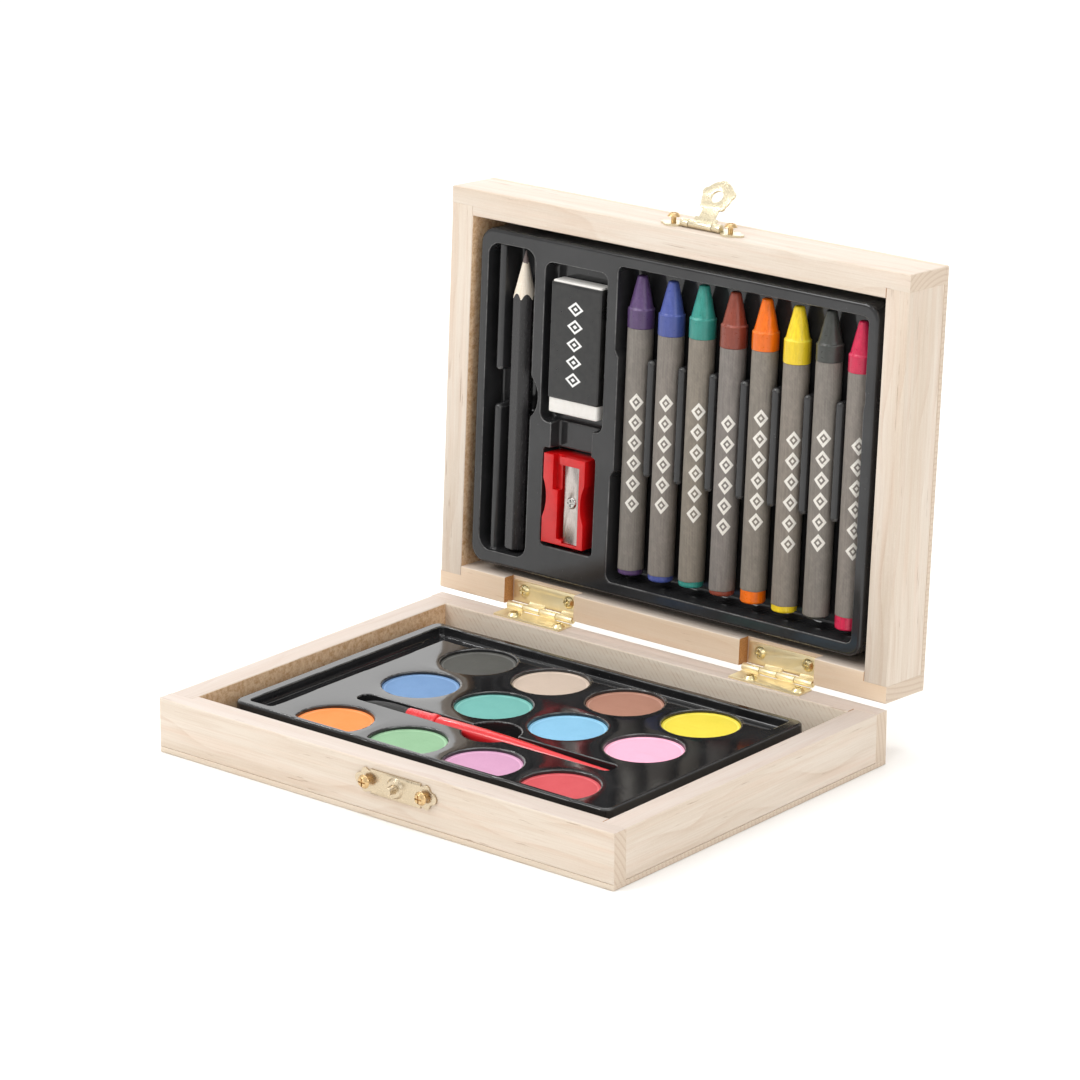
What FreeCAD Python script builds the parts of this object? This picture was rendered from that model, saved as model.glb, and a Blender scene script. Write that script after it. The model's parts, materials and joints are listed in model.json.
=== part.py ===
import FreeCAD, Part
import os
import math
from FreeCAD import Vector, Rotation, Placement

# Hinged wooden art-set box. Millimetres. X runs along the width, Y to the
# back, Z up. The origin is the middle of the base underside. The lid stands
# open, leaning a few degrees past the vertical.

doc = FreeCAD.newDocument("art_set_box")

# ---------------------------------------------------------------- dimensions
VALUES = [
    # the box
    ("box_w", 165.0), ("box_d", 123.5), ("wall", 8.0), ("rabbet", 5.1),
    ("ply", 1.6), ("base_rail_ht", 14.6), ("lid_rail_ht", 17.0),
    ("rim_gap", 0.3), ("edge_round", 0.45), ("lid_lean", 3.15),
    # hinges
    ("hinge_x", 44.0), ("hinge_len", 25.0), ("hinge_back", 0.25),
    ("hinge_rise", 1.6), ("leaf_t", 0.6), ("leaf_in", 6.9),
    ("knuckle_r", 1.1), ("knuckle_len", 6.05), ("knuckle_gap", 0.2),
    ("hinge_pin_r", 0.65), ("hinge_play", 0.05),
    ("notch_len", 26.7), ("notch_depth", 4.2),
    ("screw_half", 8.5), ("screw_in", 4.8), ("lid_screw_in", 4.4),
    ("base_screw_off", 2.1), ("screw_r", 0.75),
    ("screw_head_r", 2.0), ("screw_head_ht", 1.0), ("screw_len", 7.0),
    # latch
    ("latch_x", 6.9), ("plate_t", 0.6), ("strike_z", 10.6),
    ("strike_w", 18.0), ("strike_ht", 7.2), ("latch_screw_half", 10.2),
    ("boss_r", 3.0), ("boss_ht", 0.9), ("nub_r", 1.5), ("nub_ht", 3.3),
    ("latch_axis_in", 4.2), ("latch_axis_out", 1.3), ("latch_knuckle_r", 1.25),
    ("latch_pin_r", 0.55), ("latch_play", 0.05), ("latch_barrel_half", 7.0),
    ("flap_knuckle_half", 4.1), ("flap_gap", 0.2), ("flap_t", 0.7),
    ("flap_reach", 10.1), ("flap_head_r", 5.1), ("flap_hole_r", 1.95),
    ("flap_rest", 130.0), ("hasp_screw_in", 4.4), ("hasp_proud", 1.9),
    ("strike_proud", 1.4),
    # paint tray
    ("skin", 0.7), ("ptray_cx", -0.9), ("ptray_cy", -0.95),
    ("ptray_w", 136.4), ("ptray_d", 89.5), ("ptray_top", 14.3),
    ("ptray_corner", 3.0), ("tray_slack", 0.3),
    ("slot_x", -66.6), ("slot_w", 10.0), ("slot_y", -43.3), ("slot_deep", 3.1),
    ("chan_y", 32.0), ("chan_end", 41.4), ("chan_x", 63.5),
    ("pan_r", 11.3), ("pan_ring_r", 12.1), ("pan_deep", 5.0),
    ("pan_x", -36.6), ("pan_pitch", 27.25), ("pan_back_y", 24.3),
    ("pan_mid_y", -1.4), ("pan_front_y", -38.5), ("pan_chord_y", -43.9),
    ("cake_r", 11.2), ("cake_drop", 1.2),
    ("groove_y", -19.8), ("groove_half", 2.8), ("groove_x", -43.2),
    ("groove_end", 48.9), ("groove_deep", 4.3),
    ("thumb_x", 4.4), ("thumb_y", -18.6), ("thumb_r", 8.4), ("thumb_deep", 6.2),
    # brush
    ("brush_z", 12.5), ("brush_tip_x", -42.8), ("ferrule_x", -25.0),
    ("brush_end_x", 48.4), ("brush_r", 2.35), ("bristle_r", 2.15),
    # lid tray
    ("ltray_w", 144.0), ("ltray_d", 102.2), ("ltray_drop", 1.0),
    ("ltray_corner", 5.0),
    ("pen_x", -68.8), ("pen_w", 17.8), ("pen_y", -46.0), ("pen_len", 92.8),
    ("pen_floor", 9.3), ("ridge_x", -65.6), ("ridge_w", 2.2),
    ("ridge_top", 2.2), ("ridge_low_end", -2.0), ("ridge_high", 8.5),
    ("notch_cx", -56.8), ("notch_cy", 2.9), ("notch_r", 8.5),
    ("notch_floor", 11.5),
    ("ers_x", -47.0), ("ers_w", 23.2), ("ers_y", -3.5), ("ers_len", 47.8),
    ("ers_floor", 6.2),
    ("link_x", -42.8), ("link_w", 15.5), ("link_y", -12.5), ("link_len", 10.0),
    ("link_floor", 5.2),
    ("shp_x", -45.2), ("shp_w", 19.4), ("shp_y", -40.9), ("shp_len", 29.5),
    ("shp_floor", 8.2),
    ("cry_x", -20.0), ("cry_w", 88.6), ("cry_y", -47.2), ("cry_len", 94.5),
    ("cry_mid_x", -18.8), ("cry_mid_w", 87.1), ("cry_mid_y", -14.2),
    ("cry_mid_len", 35.0), ("cry_floor", 9.8), ("rib_w", 2.4),
    ("rib_top", 3.6),
    # crayons
    ("crayon_first_x", -14.6), ("crayon_pitch", 11.22), ("crayon_deep", 5.85),
    ("crayon_len", 89.5), ("wax_r", 3.7), ("collar_r", 3.95),
    ("cone_r", 3.6), ("crayon_tip_r", 1.55), ("cone_len", 9.6),
    ("collar_len", 7.2), ("sleeve_r", 3.9),
    # pencil
    ("pencil_cx", -58.2), ("pencil_deep", 5.7), ("pencil_r", 3.55),
    ("pencil_y", -45.7), ("pencil_len", 91.0), ("pencil_cone", 16.2),
    ("lead_r", 1.1),
    # eraser
    ("eraser_x", -43.9), ("eraser_w", 18.8), ("eraser_y", 0.0),
    ("eraser_len", 39.8), ("eraser_top", 0.2), ("eraser_t", 6.0),
    ("paper_t", 0.3), ("eraser_bare", 4.5),
    # sharpener
    ("sharp_x", -44.2), ("sharp_w", 15.5), ("sharp_y", -39.7),
    ("sharp_len", 27.0), ("sharp_top", 0.2), ("sharp_t", 8.0),
    ("waist_r", 14.0), ("waist_deep", 1.3), ("blade_w", 5.5),
    ("blade_len", 23.5), ("blade_t", 0.5), ("blade_x", -36.4),
    ("blade_y", -38.8),
]

sheet = doc.addObject("Spreadsheet::Sheet", "Params")
for row, (name, value) in enumerate(VALUES, start=1):
    sheet.set("A%d" % row, name)
    sheet.set("B%d" % row, repr(value))
    sheet.setAlias("B%d" % row, name)
doc.recompute()


class Expr:
    """A number that remembers how it comes from the sheet."""

    def __init__(self, value, text):
        self.v = float(value)
        self.t = text

    @staticmethod
    def of(other):
        if isinstance(other, Expr):
            return other
        return Expr(other, "(%.9g)" % other)

    def __add__(self, o):
        o = Expr.of(o)
        return Expr(self.v + o.v, "(%s + %s)" % (self.t, o.t))

    def __radd__(self, o):
        return Expr.of(o) + self

    def __sub__(self, o):
        o = Expr.of(o)
        return Expr(self.v - o.v, "(%s - %s)" % (self.t, o.t))

    def __rsub__(self, o):
        return Expr.of(o) - self

    def __mul__(self, o):
        o = Expr.of(o)
        return Expr(self.v * o.v, "(%s * %s)" % (self.t, o.t))

    def __rmul__(self, o):
        return Expr.of(o) * self

    def __truediv__(self, o):
        o = Expr.of(o)
        return Expr(self.v / o.v, "(%s / %s)" % (self.t, o.t))

    def __neg__(self):
        return Expr(-self.v, "(0 - %s)" % self.t)


class Sizes:
    pass


p = Sizes()
for name, value in VALUES:
    setattr(p, name, Expr(value, "Params." + name))


def bind(obj, prop, value):
    """Binds one property of an object to the sheet."""
    value = Expr.of(value)
    obj.setExpression(prop, value.t)


def locate(obj, x, y, z):
    for axis, value in (("x", x), ("y", y), ("z", z)):
        bind(obj, "Placement.Base." + axis, value)


# ------------------------------------------------------------ small builders
def box(name, x, y, z, lx, ly, lz):
    b = doc.addObject("Part::Box", name)
    bind(b, "Length", lx)
    bind(b, "Width", ly)
    bind(b, "Height", lz)
    locate(b, x, y, z)
    return b


def rod(name, x, y, z, r, length, axis="z"):
    """A cylinder from a start point along +X, +Y or +Z."""
    c = doc.addObject("Part::Cylinder", name)
    bind(c, "Radius", r)
    bind(c, "Height", length)
    if axis == "x":
        c.Placement = Placement(Vector(0, 0, 0), Rotation(Vector(0, 1, 0), 90))
    elif axis == "y":
        c.Placement = Placement(Vector(0, 0, 0), Rotation(Vector(1, 0, 0), -90))
    locate(c, x, y, z)
    return c


def cone(name, x, y, z, r1, r2, length, axis="z"):
    c = doc.addObject("Part::Cone", name)
    bind(c, "Radius1", r1)
    bind(c, "Radius2", r2)
    bind(c, "Height", length)
    if axis == "x":
        c.Placement = Placement(Vector(0, 0, 0), Rotation(Vector(0, 1, 0), 90))
    elif axis == "y":
        c.Placement = Placement(Vector(0, 0, 0), Rotation(Vector(1, 0, 0), -90))
    locate(c, x, y, z)
    return c


def fuse(name, parts):
    f = doc.addObject("Part::MultiFuse", name)
    f.Shapes = parts
    f.Refine = True
    return f


def cut(name, base, tool):
    c = doc.addObject("Part::Cut", name)
    c.Base = base
    c.Tool = tool
    c.Refine = True
    return c


def common(name, a, b):
    c = doc.addObject("Part::Common", name)
    c.Base = a
    c.Tool = b
    return c


def plane_of(body, role):
    for feature in body.Origin.OriginFeatures:
        if feature.Role == role:
            return feature
    raise ValueError(role)


def sketch_poly(body, name, role, points, offset=None):
    """A closed outline whose corners are tied to the sheet."""
    sk = body.newObject("Sketcher::SketchObject", name)
    sk.AttachmentSupport = [(plane_of(body, role), "")]
    sk.MapMode = "FlatFace"
    if offset is not None:
        bind(sk, "AttachmentOffset.Base.z", offset)
    pts = [(Expr.of(a), Expr.of(b)) for a, b in points]
    count = len(pts)
    for i in range(count):
        a, b = pts[i], pts[(i + 1) % count]
        sk.addGeometry(Part.LineSegment(Vector(a[0].v, a[1].v, 0),
                                        Vector(b[0].v, b[1].v, 0)), False)
    import Sketcher
    for i in range(count):
        sk.addConstraint(Sketcher.Constraint("Coincident", i, 2,
                                             (i + 1) % count, 1))
    for i in range(count):
        for kind, value in (("DistanceX", pts[i][0]), ("DistanceY", pts[i][1])):
            if abs(value.v) < 1e-9:
                sk.addConstraint(Sketcher.Constraint(
                    "PointOnObject", i, 1, -2 if kind == "DistanceX" else -1))
            else:
                at = sk.addConstraint(Sketcher.Constraint(
                    kind, -1, 1, i, 1, value.v))
                if "Params" in value.t:
                    sk.setExpression("Constraints[%d]" % at, value.t)
    return sk


def new_body(name):
    body = doc.addObject("PartDesign::Body", name)
    return body


def pad_poly(name, role, points, length, offset=None):
    body = new_body(name)
    sk = sketch_poly(body, name + "_outline", role, points, offset)
    pad = body.newObject("PartDesign::Pad", name + "_pad")
    pad.Profile = sk
    bind(pad, "Length", length)
    sk.Visibility = False
    return body, pad


def revolve_poly(name, points):
    """Turns an outline in the XY plane about the X axis."""
    body = new_body(name)
    sk = sketch_poly(body, name + "_profile", "XY_Plane", points)
    rev = body.newObject("PartDesign::Revolution", name + "_turn")
    rev.Profile = sk
    rev.ReferenceAxis = (sk, ["H_Axis"])
    rev.Angle = 360.0
    sk.Visibility = False
    return body, rev


def round_edges(body, feature, name, radius, test):
    """Rounds those edges of a feature that pass a test."""
    doc.recompute()
    names = []
    for i, edge in enumerate(feature.Shape.Edges, start=1):
        if test(edge):
            names.append("Edge%d" % i)
    fil = body.newObject("PartDesign::Fillet", name)
    fil.Base = (feature, names)
    bind(fil, "Radius", radius)
    return fil


def part_round(name, base, radius, test):
    doc.recompute()
    fil = doc.addObject("Part::Fillet", name)
    fil.Base = base
    fil.Edges = [(i, radius.v, radius.v)
                 for i, e in enumerate(base.Shape.Edges, start=1) if test(e)]
    return fil


def direction(edge):
    a, b = edge.Vertexes[0].Point, edge.Vertexes[-1].Point
    d = b.sub(a)
    if d.Length < 1e-9:
        return Vector(0, 0, 0)
    return d.multiply(1.0 / d.Length)


def along(edge, axis):
    d = direction(edge)
    return len(edge.Vertexes) == 2 and abs(abs(d.dot(axis)) - 1.0) < 1e-6


EX, EY, EZ = Vector(1, 0, 0), Vector(0, 1, 0), Vector(0, 0, 1)


def centre(edge):
    return edge.BoundBox.Center


OUT = []


def keep(obj, label, placement=None):
    obj.Label = label
    if placement is not None:
        obj.Placement = placement
    OUT.append((label, obj))
    return obj


# ---------------------------------------------------------------- placements
half_w = p.box_w / 2
half_d = p.box_d / 2
base_top = p.ply + p.base_rail_ht
hinge_y = half_d + p.hinge_back
hinge_z = base_top + p.hinge_rise
opened = math.radians(90.0 + p.lid_lean.v)
# the closed lid frame has its rim plane facing down at the top of the base;
# turning it about the hinge pin gives the open lid
closed = Placement(Vector(0, 0, base_top.v + p.rim_gap.v),
                   Rotation(Vector(1, 0, 0), 180))
pin_at = Vector(0, hinge_y.v, hinge_z.v)
turn = Placement(Vector(0, 0, 0), Rotation(Vector(-1, 0, 0),
                                           math.degrees(opened)), pin_at)
LID = turn.multiply(closed)


def lid_keep(obj, label):
    return keep(obj, label, LID)


# --------------------------------------------------------------- wooden rails
def rail_outline(sign):
    """Plan of a long rail with a rabbet at each end."""
    y0 = half_d * sign
    y1 = (half_d - p.rabbet) * sign
    y2 = (half_d - p.wall) * sign
    x0 = half_w
    x1 = half_w - p.wall
    return [(-x0, y0), (x0, y0), (x0, y1), (x1, y1), (x1, y2),
            (-x1, y2), (-x1, y1), (-x0, y1)]


def long_rail(name, sign, z0, ht):
    body, pad = pad_poly(name + "_stock", "XY_Plane", rail_outline(sign), ht, z0)
    zt = z0.v if isinstance(z0, Expr) else float(z0)
    zb = zt + ht.v
    yo = half_d.v * sign

    def outer(e):
        c = centre(e)
        if along(e, EX) and abs(abs(c.y) - half_d.v) < 1e-6:
            return True
        if along(e, EZ) and abs(abs(c.x) - half_w.v) < 1e-6 \
                and abs(c.y - yo) < 1e-6:
            return True
        return along(e, EX) and abs(abs(c.y) - (half_d.v - p.wall.v)) < 1e-6
    round_edges(body, pad, name + "_arris", p.edge_round, outer)
    return body


def side_rail(name, sign, z0, ht):
    x0 = half_w * sign
    x1 = (half_w - p.wall) * sign
    y1 = half_d - p.rabbet
    pts = [(x0, -y1), (x0, y1), (x1, y1), (x1, -y1)]
    body, pad = pad_poly(name + "_stock", "XY_Plane", pts, ht, z0)

    def outer(e):
        return along(e, EY)
    round_edges(body, pad, name + "_arris", p.edge_round, outer)
    return body


def panel(name, z0):
    pts = [(-half_w, -half_d), (half_w, -half_d), (half_w, half_d),
           (-half_w, half_d)]
    body, pad = pad_poly(name + "_stock", "XY_Plane", pts, p.ply, z0)

    def corner(e):
        return along(e, EZ)
    round_edges(body, pad, name + "_corner", p.edge_round, corner)
    return body


zero = p.ply * 0
base_front = long_rail("base_front", -1, p.ply, p.base_rail_ht)
base_back = long_rail("base_back", 1, p.ply, p.base_rail_ht)
base_left = side_rail("base_left", -1, p.ply, p.base_rail_ht)
base_right = side_rail("base_right", 1, p.ply, p.base_rail_ht)
base_panel = panel("base_panel", zero)

hinge_centres = [-p.hinge_x, p.hinge_x]
hinge_screws = [c + s * p.screw_half for c in hinge_centres for s in (-1, 1)]
base_hinge_screws = [x + p.base_screw_off for x in hinge_screws]
latch_screws = [p.latch_x - p.latch_screw_half, p.latch_x + p.latch_screw_half]

pilots = fuse("base_back_pilots", [
    rod("base_back_pilot%d" % i, x, hinge_y - p.screw_in,
        base_top - p.screw_len, p.screw_r, p.screw_len + 2)
    for i, x in enumerate(base_hinge_screws)])
keep(cut("base_back_rail", base_back, pilots), "base_back_rail")

pilots = fuse("base_front_pilots", [
    rod("base_front_pilot%d" % i, x, -half_d - 1, p.strike_z, p.screw_r,
        p.screw_len, "y") for i, x in enumerate(latch_screws)])
keep(cut("base_front_rail", base_front, pilots), "base_front_rail")
keep(base_left, "base_left_rail")
keep(base_right, "base_right_rail")
keep(base_panel, "base_bottom_panel")

# lid rails in the lid's own frame: rim plane at z = 0, the inside below it,
# the hinge at -y and the latch at +y
lid_z0 = -p.lid_rail_ht
lid_front = long_rail("lid_front", 1, lid_z0, p.lid_rail_ht)
lid_back = long_rail("lid_back", -1, lid_z0, p.lid_rail_ht)
lid_left = side_rail("lid_left", -1, lid_z0, p.lid_rail_ht)
lid_right = side_rail("lid_right", 1, lid_z0, p.lid_rail_ht)
lid_panel = panel("lid_panel", -(p.lid_rail_ht + p.ply))

notches = [box("lid_notch%d" % i, c - p.notch_len / 2, -half_d - 1,
               -p.notch_depth, p.notch_len, p.wall + 2, p.notch_depth + 1)
           for i, c in enumerate(hinge_centres)]
pilots = [rod("lid_back_pilot%d" % i, x, -hinge_y + p.lid_screw_in,
              -p.notch_depth - p.screw_len, p.screw_r, p.screw_len + 2)
          for i, x in enumerate(hinge_screws)]
lid_keep(cut("lid_back_rail", lid_back, fuse("lid_back_cuts",
                                             notches + pilots)),
         "lid_back_rail")
hasp_screw_z = -p.hasp_screw_in
pilots = fuse("lid_front_pilots", [
    rod("lid_front_pilot%d" % i, x, half_d + 1 - p.screw_len, hasp_screw_z,
        p.screw_r, p.screw_len, "y") for i, x in enumerate(latch_screws)])
lid_keep(cut("lid_front_rail", lid_front, pilots), "lid_front_rail")
lid_keep(lid_left, "lid_left_rail")
lid_keep(lid_right, "lid_right_rail")
lid_keep(lid_panel, "lid_top_panel")


# -------------------------------------------------------------------- hinges
def leaf(name, cx, y_axis, z_axis, y_dir, z_face, z_dir, first, bore, hole_in,
         hole_off, heel):
    """One hinge leaf: a plate, two knuckles and the webs that carry them.

    y_dir points from the pin to the plate, z_dir from the seat to the pin,
    hole_in is how far the screws stand from the pin, hole_off how far the pair
    is moved along it, and heel how far from it the web leaves the plate.
    """
    parts = []
    plate_far = y_axis + y_dir * (p.leaf_in + p.hinge_back)
    plate_near = y_axis + y_dir * (p.hinge_back + 0.6)
    y_low = plate_far if y_dir < 0 else plate_near
    z_low = z_face if z_dir > 0 else z_face - p.leaf_t
    parts.append(box(name + "_plate", cx - p.hinge_len / 2, y_low, z_low,
                     p.hinge_len, p.leaf_in - 0.6, p.leaf_t))
    pitch = p.knuckle_len + p.knuckle_gap
    for k in (first, first + 2):
        x0 = cx - p.hinge_len / 2 + k * pitch
        parts.append(rod("%s_knuckle%d" % (name, k), x0, y_axis, z_axis,
                         p.knuckle_r, p.knuckle_len, "x"))
        # web from the plate up to the knuckle
        rise = (z_axis - z_face) * z_dir
        pts = []
        for a, b in ((1.8, zero), (heel, zero), (heel - 1.0, rise - 0.75),
                     (0.0, rise - 0.3), (heel + 0.75, zero + 0.6),
                     (1.8, zero + 0.6)):
            pts.append((y_axis + y_dir * a, z_face + z_dir * b))
        body, pad = pad_poly("%s_web%d" % (name, k), "YZ_Plane", pts,
                             p.knuckle_len, x0)
        parts.append(body)
    whole = fuse(name + "_blank", parts)
    holes = [rod(name + "_bore", cx - p.hinge_len / 2 - 1, y_axis, z_axis,
                 bore, p.hinge_len + 2, "x")]
    for s in (-1, 1):
        holes.append(rod("%s_hole%d" % (name, s + 1),
                         cx + s * p.screw_half + hole_off,
                         y_axis + y_dir * hole_in, z_low - 1, p.screw_r,
                         p.leaf_t + 2))
    return cut(name, whole, fuse(name + "_holes", holes))


base_leaves = [leaf("base_leaf%d" % i, c, hinge_y, hinge_z, -1, base_top, 1, 0,
                    p.hinge_pin_r, p.screw_in, p.base_screw_off, 0.25)
               for i, c in enumerate(hinge_centres)]
pair = doc.addObject("Part::Compound", "hinge_base_leaves")
pair.Links = base_leaves
keep(pair, "hinge_base_leaves")

lid_axis_z = -(p.hinge_rise - p.rim_gap)
lid_leaves = [leaf("lid_leaf%d" % i, c, -hinge_y, lid_axis_z, 1,
                   -p.notch_depth, 1, 1, p.hinge_pin_r + p.hinge_play,
                   p.lid_screw_in, zero, 0.65)
              for i, c in enumerate(hinge_centres)]
pair = doc.addObject("Part::Compound", "hinge_lid_leaves")
pair.Links = lid_leaves
lid_keep(pair, "hinge_lid_leaves")

pins = [rod("hinge_pin%d" % i, c - p.hinge_len / 2, hinge_y, hinge_z,
            p.hinge_pin_r, p.hinge_len, "x")
        for i, c in enumerate(hinge_centres)]
pair = doc.addObject("Part::Compound", "hinge_pins")
pair.Links = pins
keep(pair, "hinge_pins")


def screw(name, x, y, z, axis):
    """A small round-head screw; the head stands on the seat at the point.

    axis is z (head up), zl (head up in the lid) or y with its sign.
    """
    slot_w = p.screw_r * 0.55
    slot_l = p.screw_head_r * 1.25
    if axis == "z":
        shank = rod(name + "_shank", x, y, z - p.screw_len + 0.4, p.screw_r,
                    p.screw_len - 0.4)
        head = cone(name + "_head", x, y, z, p.screw_head_r,
                    p.screw_head_r * 0.62, p.screw_head_ht)
        s1 = box(name + "_slot_a", x - slot_l / 2, y - slot_w / 2,
                 z + p.screw_head_ht * 0.5, slot_l, slot_w, p.screw_head_ht)
        s2 = box(name + "_slot_b", x - slot_w / 2, y - slot_l / 2,
                 z + p.screw_head_ht * 0.5, slot_w, slot_l, p.screw_head_ht)
    elif axis == "y+":
        shank = rod(name + "_shank", x, y - p.screw_len + 1.6, z, p.screw_r,
                    p.screw_len - 1.6, "y")
        head = cone(name + "_head", x, y, z, p.screw_head_r,
                    p.screw_head_r * 0.62, p.screw_head_ht, "y")
        s1 = box(name + "_slot_a", x - slot_l / 2, y + p.screw_head_ht * 0.5,
                 z - slot_w / 2, slot_l, p.screw_head_ht, slot_w)
        s2 = box(name + "_slot_b", x - slot_w / 2, y + p.screw_head_ht * 0.5,
                 z - slot_l / 2, slot_w, p.screw_head_ht, slot_l)
    else:
        shank = rod(name + "_shank", x, y, z, p.screw_r, p.screw_len - 1.6, "y")
        head = cone(name + "_head", x, y - p.screw_head_ht, z,
                    p.screw_head_r * 0.62, p.screw_head_r, p.screw_head_ht, "y")
        s1 = box(name + "_slot_a", x - slot_l / 2, y - p.screw_head_ht * 1.5,
                 z - slot_w / 2, slot_l, p.screw_head_ht, slot_w)
        s2 = box(name + "_slot_b", x - slot_w / 2, y - p.screw_head_ht * 1.5,
                 z - slot_l / 2, slot_w, p.screw_head_ht, slot_l)
    solid = fuse(name + "_blank", [shank, head])
    return cut(name, solid, fuse(name + "_slot", [s1, s2]))


screws = [screw("base_screw%d" % i, x, hinge_y - p.screw_in,
                base_top + p.leaf_t, "z")
          for i, x in enumerate(base_hinge_screws)]
screws += [screw("strike_screw%d" % i, x,
                 -half_d - p.plate_t - p.strike_proud, p.strike_z, "y-")
           for i, x in enumerate(latch_screws)]
group = doc.addObject("Part::Compound", "base_screws")
group.Links = screws
keep(group, "base_screws")

screws = [screw("lid_screw%d" % i, x, -hinge_y + p.lid_screw_in,
                -p.notch_depth + p.leaf_t, "z")
          for i, x in enumerate(hinge_screws)]
screws += [screw("hasp_screw%d" % i, x, half_d + p.plate_t + p.hasp_proud,
                 hasp_screw_z, "y+")
           for i, x in enumerate(latch_screws)]
group = doc.addObject("Part::Compound", "lid_screws")
group.Links = screws
lid_keep(group, "lid_screws")

# --------------------------------------------------------------------- latch
front_y = -half_d - p.plate_t
parts = [box("strike_field", p.latch_x - p.strike_w / 2, front_y,
             p.strike_z - p.strike_ht / 2, p.strike_w, p.plate_t, p.strike_ht)]
for i, s in enumerate((-1, 1)):
    for j, (du, dw, r) in enumerate(((10.2, 0.0, 3.1), (11.0, 2.3, 1.25),
                                     (11.0, -2.3, 1.25), (12.9, 0.0, 1.7))):
        parts.append(rod("strike_lobe%d_%d" % (i, j), p.latch_x + s * du,
                         front_y, p.strike_z + dw, Expr.of(r), p.plate_t, "y"))
parts.append(cone("strike_boss", p.latch_x, front_y - p.boss_ht, p.strike_z,
                  p.boss_r - 0.6, p.boss_r, p.boss_ht, "y"))
parts.append(cone("strike_nub", p.latch_x, front_y - p.nub_ht, p.strike_z,
                  p.nub_r - 0.5, p.nub_r, p.nub_ht + 0.1, "y"))
blank = fuse("strike_blank", parts)
holes = fuse("strike_holes", [
    rod("strike_hole%d" % i, x, front_y - 1, p.strike_z, p.screw_r,
        p.plate_t + 2, "y") for i, x in enumerate(latch_screws)])
keep(cut("latch_strike_plate", blank, holes), "latch_strike_plate")

axis_y = half_d + p.latch_axis_out
axis_z = -p.latch_axis_in
hasp_z0 = hasp_screw_z - 4.0
parts = [box("hasp_field", p.latch_x - p.strike_w / 2, half_d, hasp_z0,
             p.strike_w, p.plate_t, axis_z - hasp_z0 - 1.25)]
for i, s in enumerate((-1, 1)):
    for j, (du, dw, r) in enumerate(((10.2, 0.0, 3.0), (10.6, -2.4, 1.25),
                                     (12.9, -0.2, 1.6))):
        parts.append(rod("hasp_lobe%d_%d" % (i, j), p.latch_x + s * du, half_d,
                         hasp_screw_z + dw, Expr.of(r), p.plate_t, "y"))
side_len = p.latch_barrel_half - p.flap_knuckle_half - p.flap_gap
for i, s in enumerate((-1, 1)):
    if s < 0:
        x0 = p.latch_x - p.latch_barrel_half
    else:
        x0 = p.latch_x + p.flap_knuckle_half + p.flap_gap
    parts.append(rod("hasp_knuckle%d" % i, x0, axis_y, axis_z,
                     p.latch_knuckle_r, side_len, "x"))
    parts.append(box("hasp_web%d" % i, x0, half_d, axis_z - 1.6, side_len,
                     p.plate_t, 1.6))
blank = fuse("hasp_blank", parts)
holes = [rod("hasp_bore", p.latch_x - p.latch_barrel_half - 1, axis_y, axis_z,
             p.latch_pin_r, p.latch_barrel_half * 2 + 2, "x")]
holes += [rod("hasp_hole%d" % i, x, half_d - 1, hasp_screw_z, p.screw_r,
              p.plate_t + 2, "y") for i, x in enumerate(latch_screws)]
lid_keep(cut("latch_hasp_plate", blank, fuse("hasp_holes", holes)),
         "latch_hasp_plate")
pin_hold = doc.addObject("Part::Compound", "latch_pin")
pin_hold.Links = [rod("latch_pin_rod", p.latch_x - p.latch_barrel_half, axis_y,
                      axis_z, p.latch_pin_r, p.latch_barrel_half * 2, "x")]
lid_keep(pin_hold, "latch_pin")

# the flap in the latched pose, then swung back to where it rests
flap_y = half_d + p.plate_t + p.boss_ht + 0.15
flap_tip = axis_z + p.flap_reach
parts = [rod("flap_knuckle", p.latch_x - p.flap_knuckle_half, axis_y, axis_z,
             p.latch_knuckle_r, p.flap_knuckle_half * 2, "x"),
         box("flap_foot", p.latch_x - 3.9, flap_y, axis_z + 0.4, Expr.of(7.8),
             p.flap_t, Expr.of(2.5)),
         box("flap_stem", p.latch_x - 2.7, flap_y, axis_z + 0.4, Expr.of(5.4),
             p.flap_t, p.flap_reach - 2),
         rod("flap_head", p.latch_x, flap_y, flap_tip, p.flap_head_r,
             p.flap_t, "y"),
         rod("flap_lip", p.latch_x, flap_y, flap_tip + 3.5, Expr.of(1.9),
             p.flap_t, "y")]
for s in (-1, 1):
    parts.append(rod("flap_ear%d" % (s + 1), p.latch_x + s * 4.2, flap_y,
                     flap_tip + 1.2, Expr.of(1.5), p.flap_t, "y"))
    parts.append(rod("flap_cusp%d" % (s + 1), p.latch_x + s * 3.3, flap_y,
                     flap_tip - 3.2, Expr.of(1.0), p.flap_t, "y"))
blank = fuse("flap_blank", parts)
holes = fuse("flap_holes", [
    rod("flap_bore", p.latch_x - p.flap_knuckle_half - 1, axis_y, axis_z,
        p.latch_pin_r + p.latch_play, p.flap_knuckle_half * 2 + 2, "x"),
    rod("flap_eye", p.latch_x, flap_y - 1, flap_tip, p.flap_hole_r,
        p.flap_t + 2, "y")])
flap = cut("latch_flap", blank, holes)
flap_pin = Vector(0, axis_y.v, axis_z.v)
flap_turn = Placement(Vector(0, 0, 0), Rotation(Vector(-1, 0, 0),
                                                p.flap_rest.v), flap_pin)
keep(flap, "latch_flap", LID.multiply(flap_turn))


# --------------------------------------------------------------------- trays
def slab(name, x, y, z, lx, ly, lz, corner):
    """A block with rounded upright corners."""
    raw = box(name + "_raw", x, y, z, lx, ly, lz)
    return part_round(name, raw, Expr.of(corner), lambda e: along(e, EZ))


def grown(name, dims, by, up):
    """A pocket block grown by the sheet thickness on its sides and floor."""
    x, y, z, lx, ly, lz = dims
    return box(name, x - by, y - by, z - by, lx + 2 * by, ly + 2 * by,
               lz + by + up)


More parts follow.
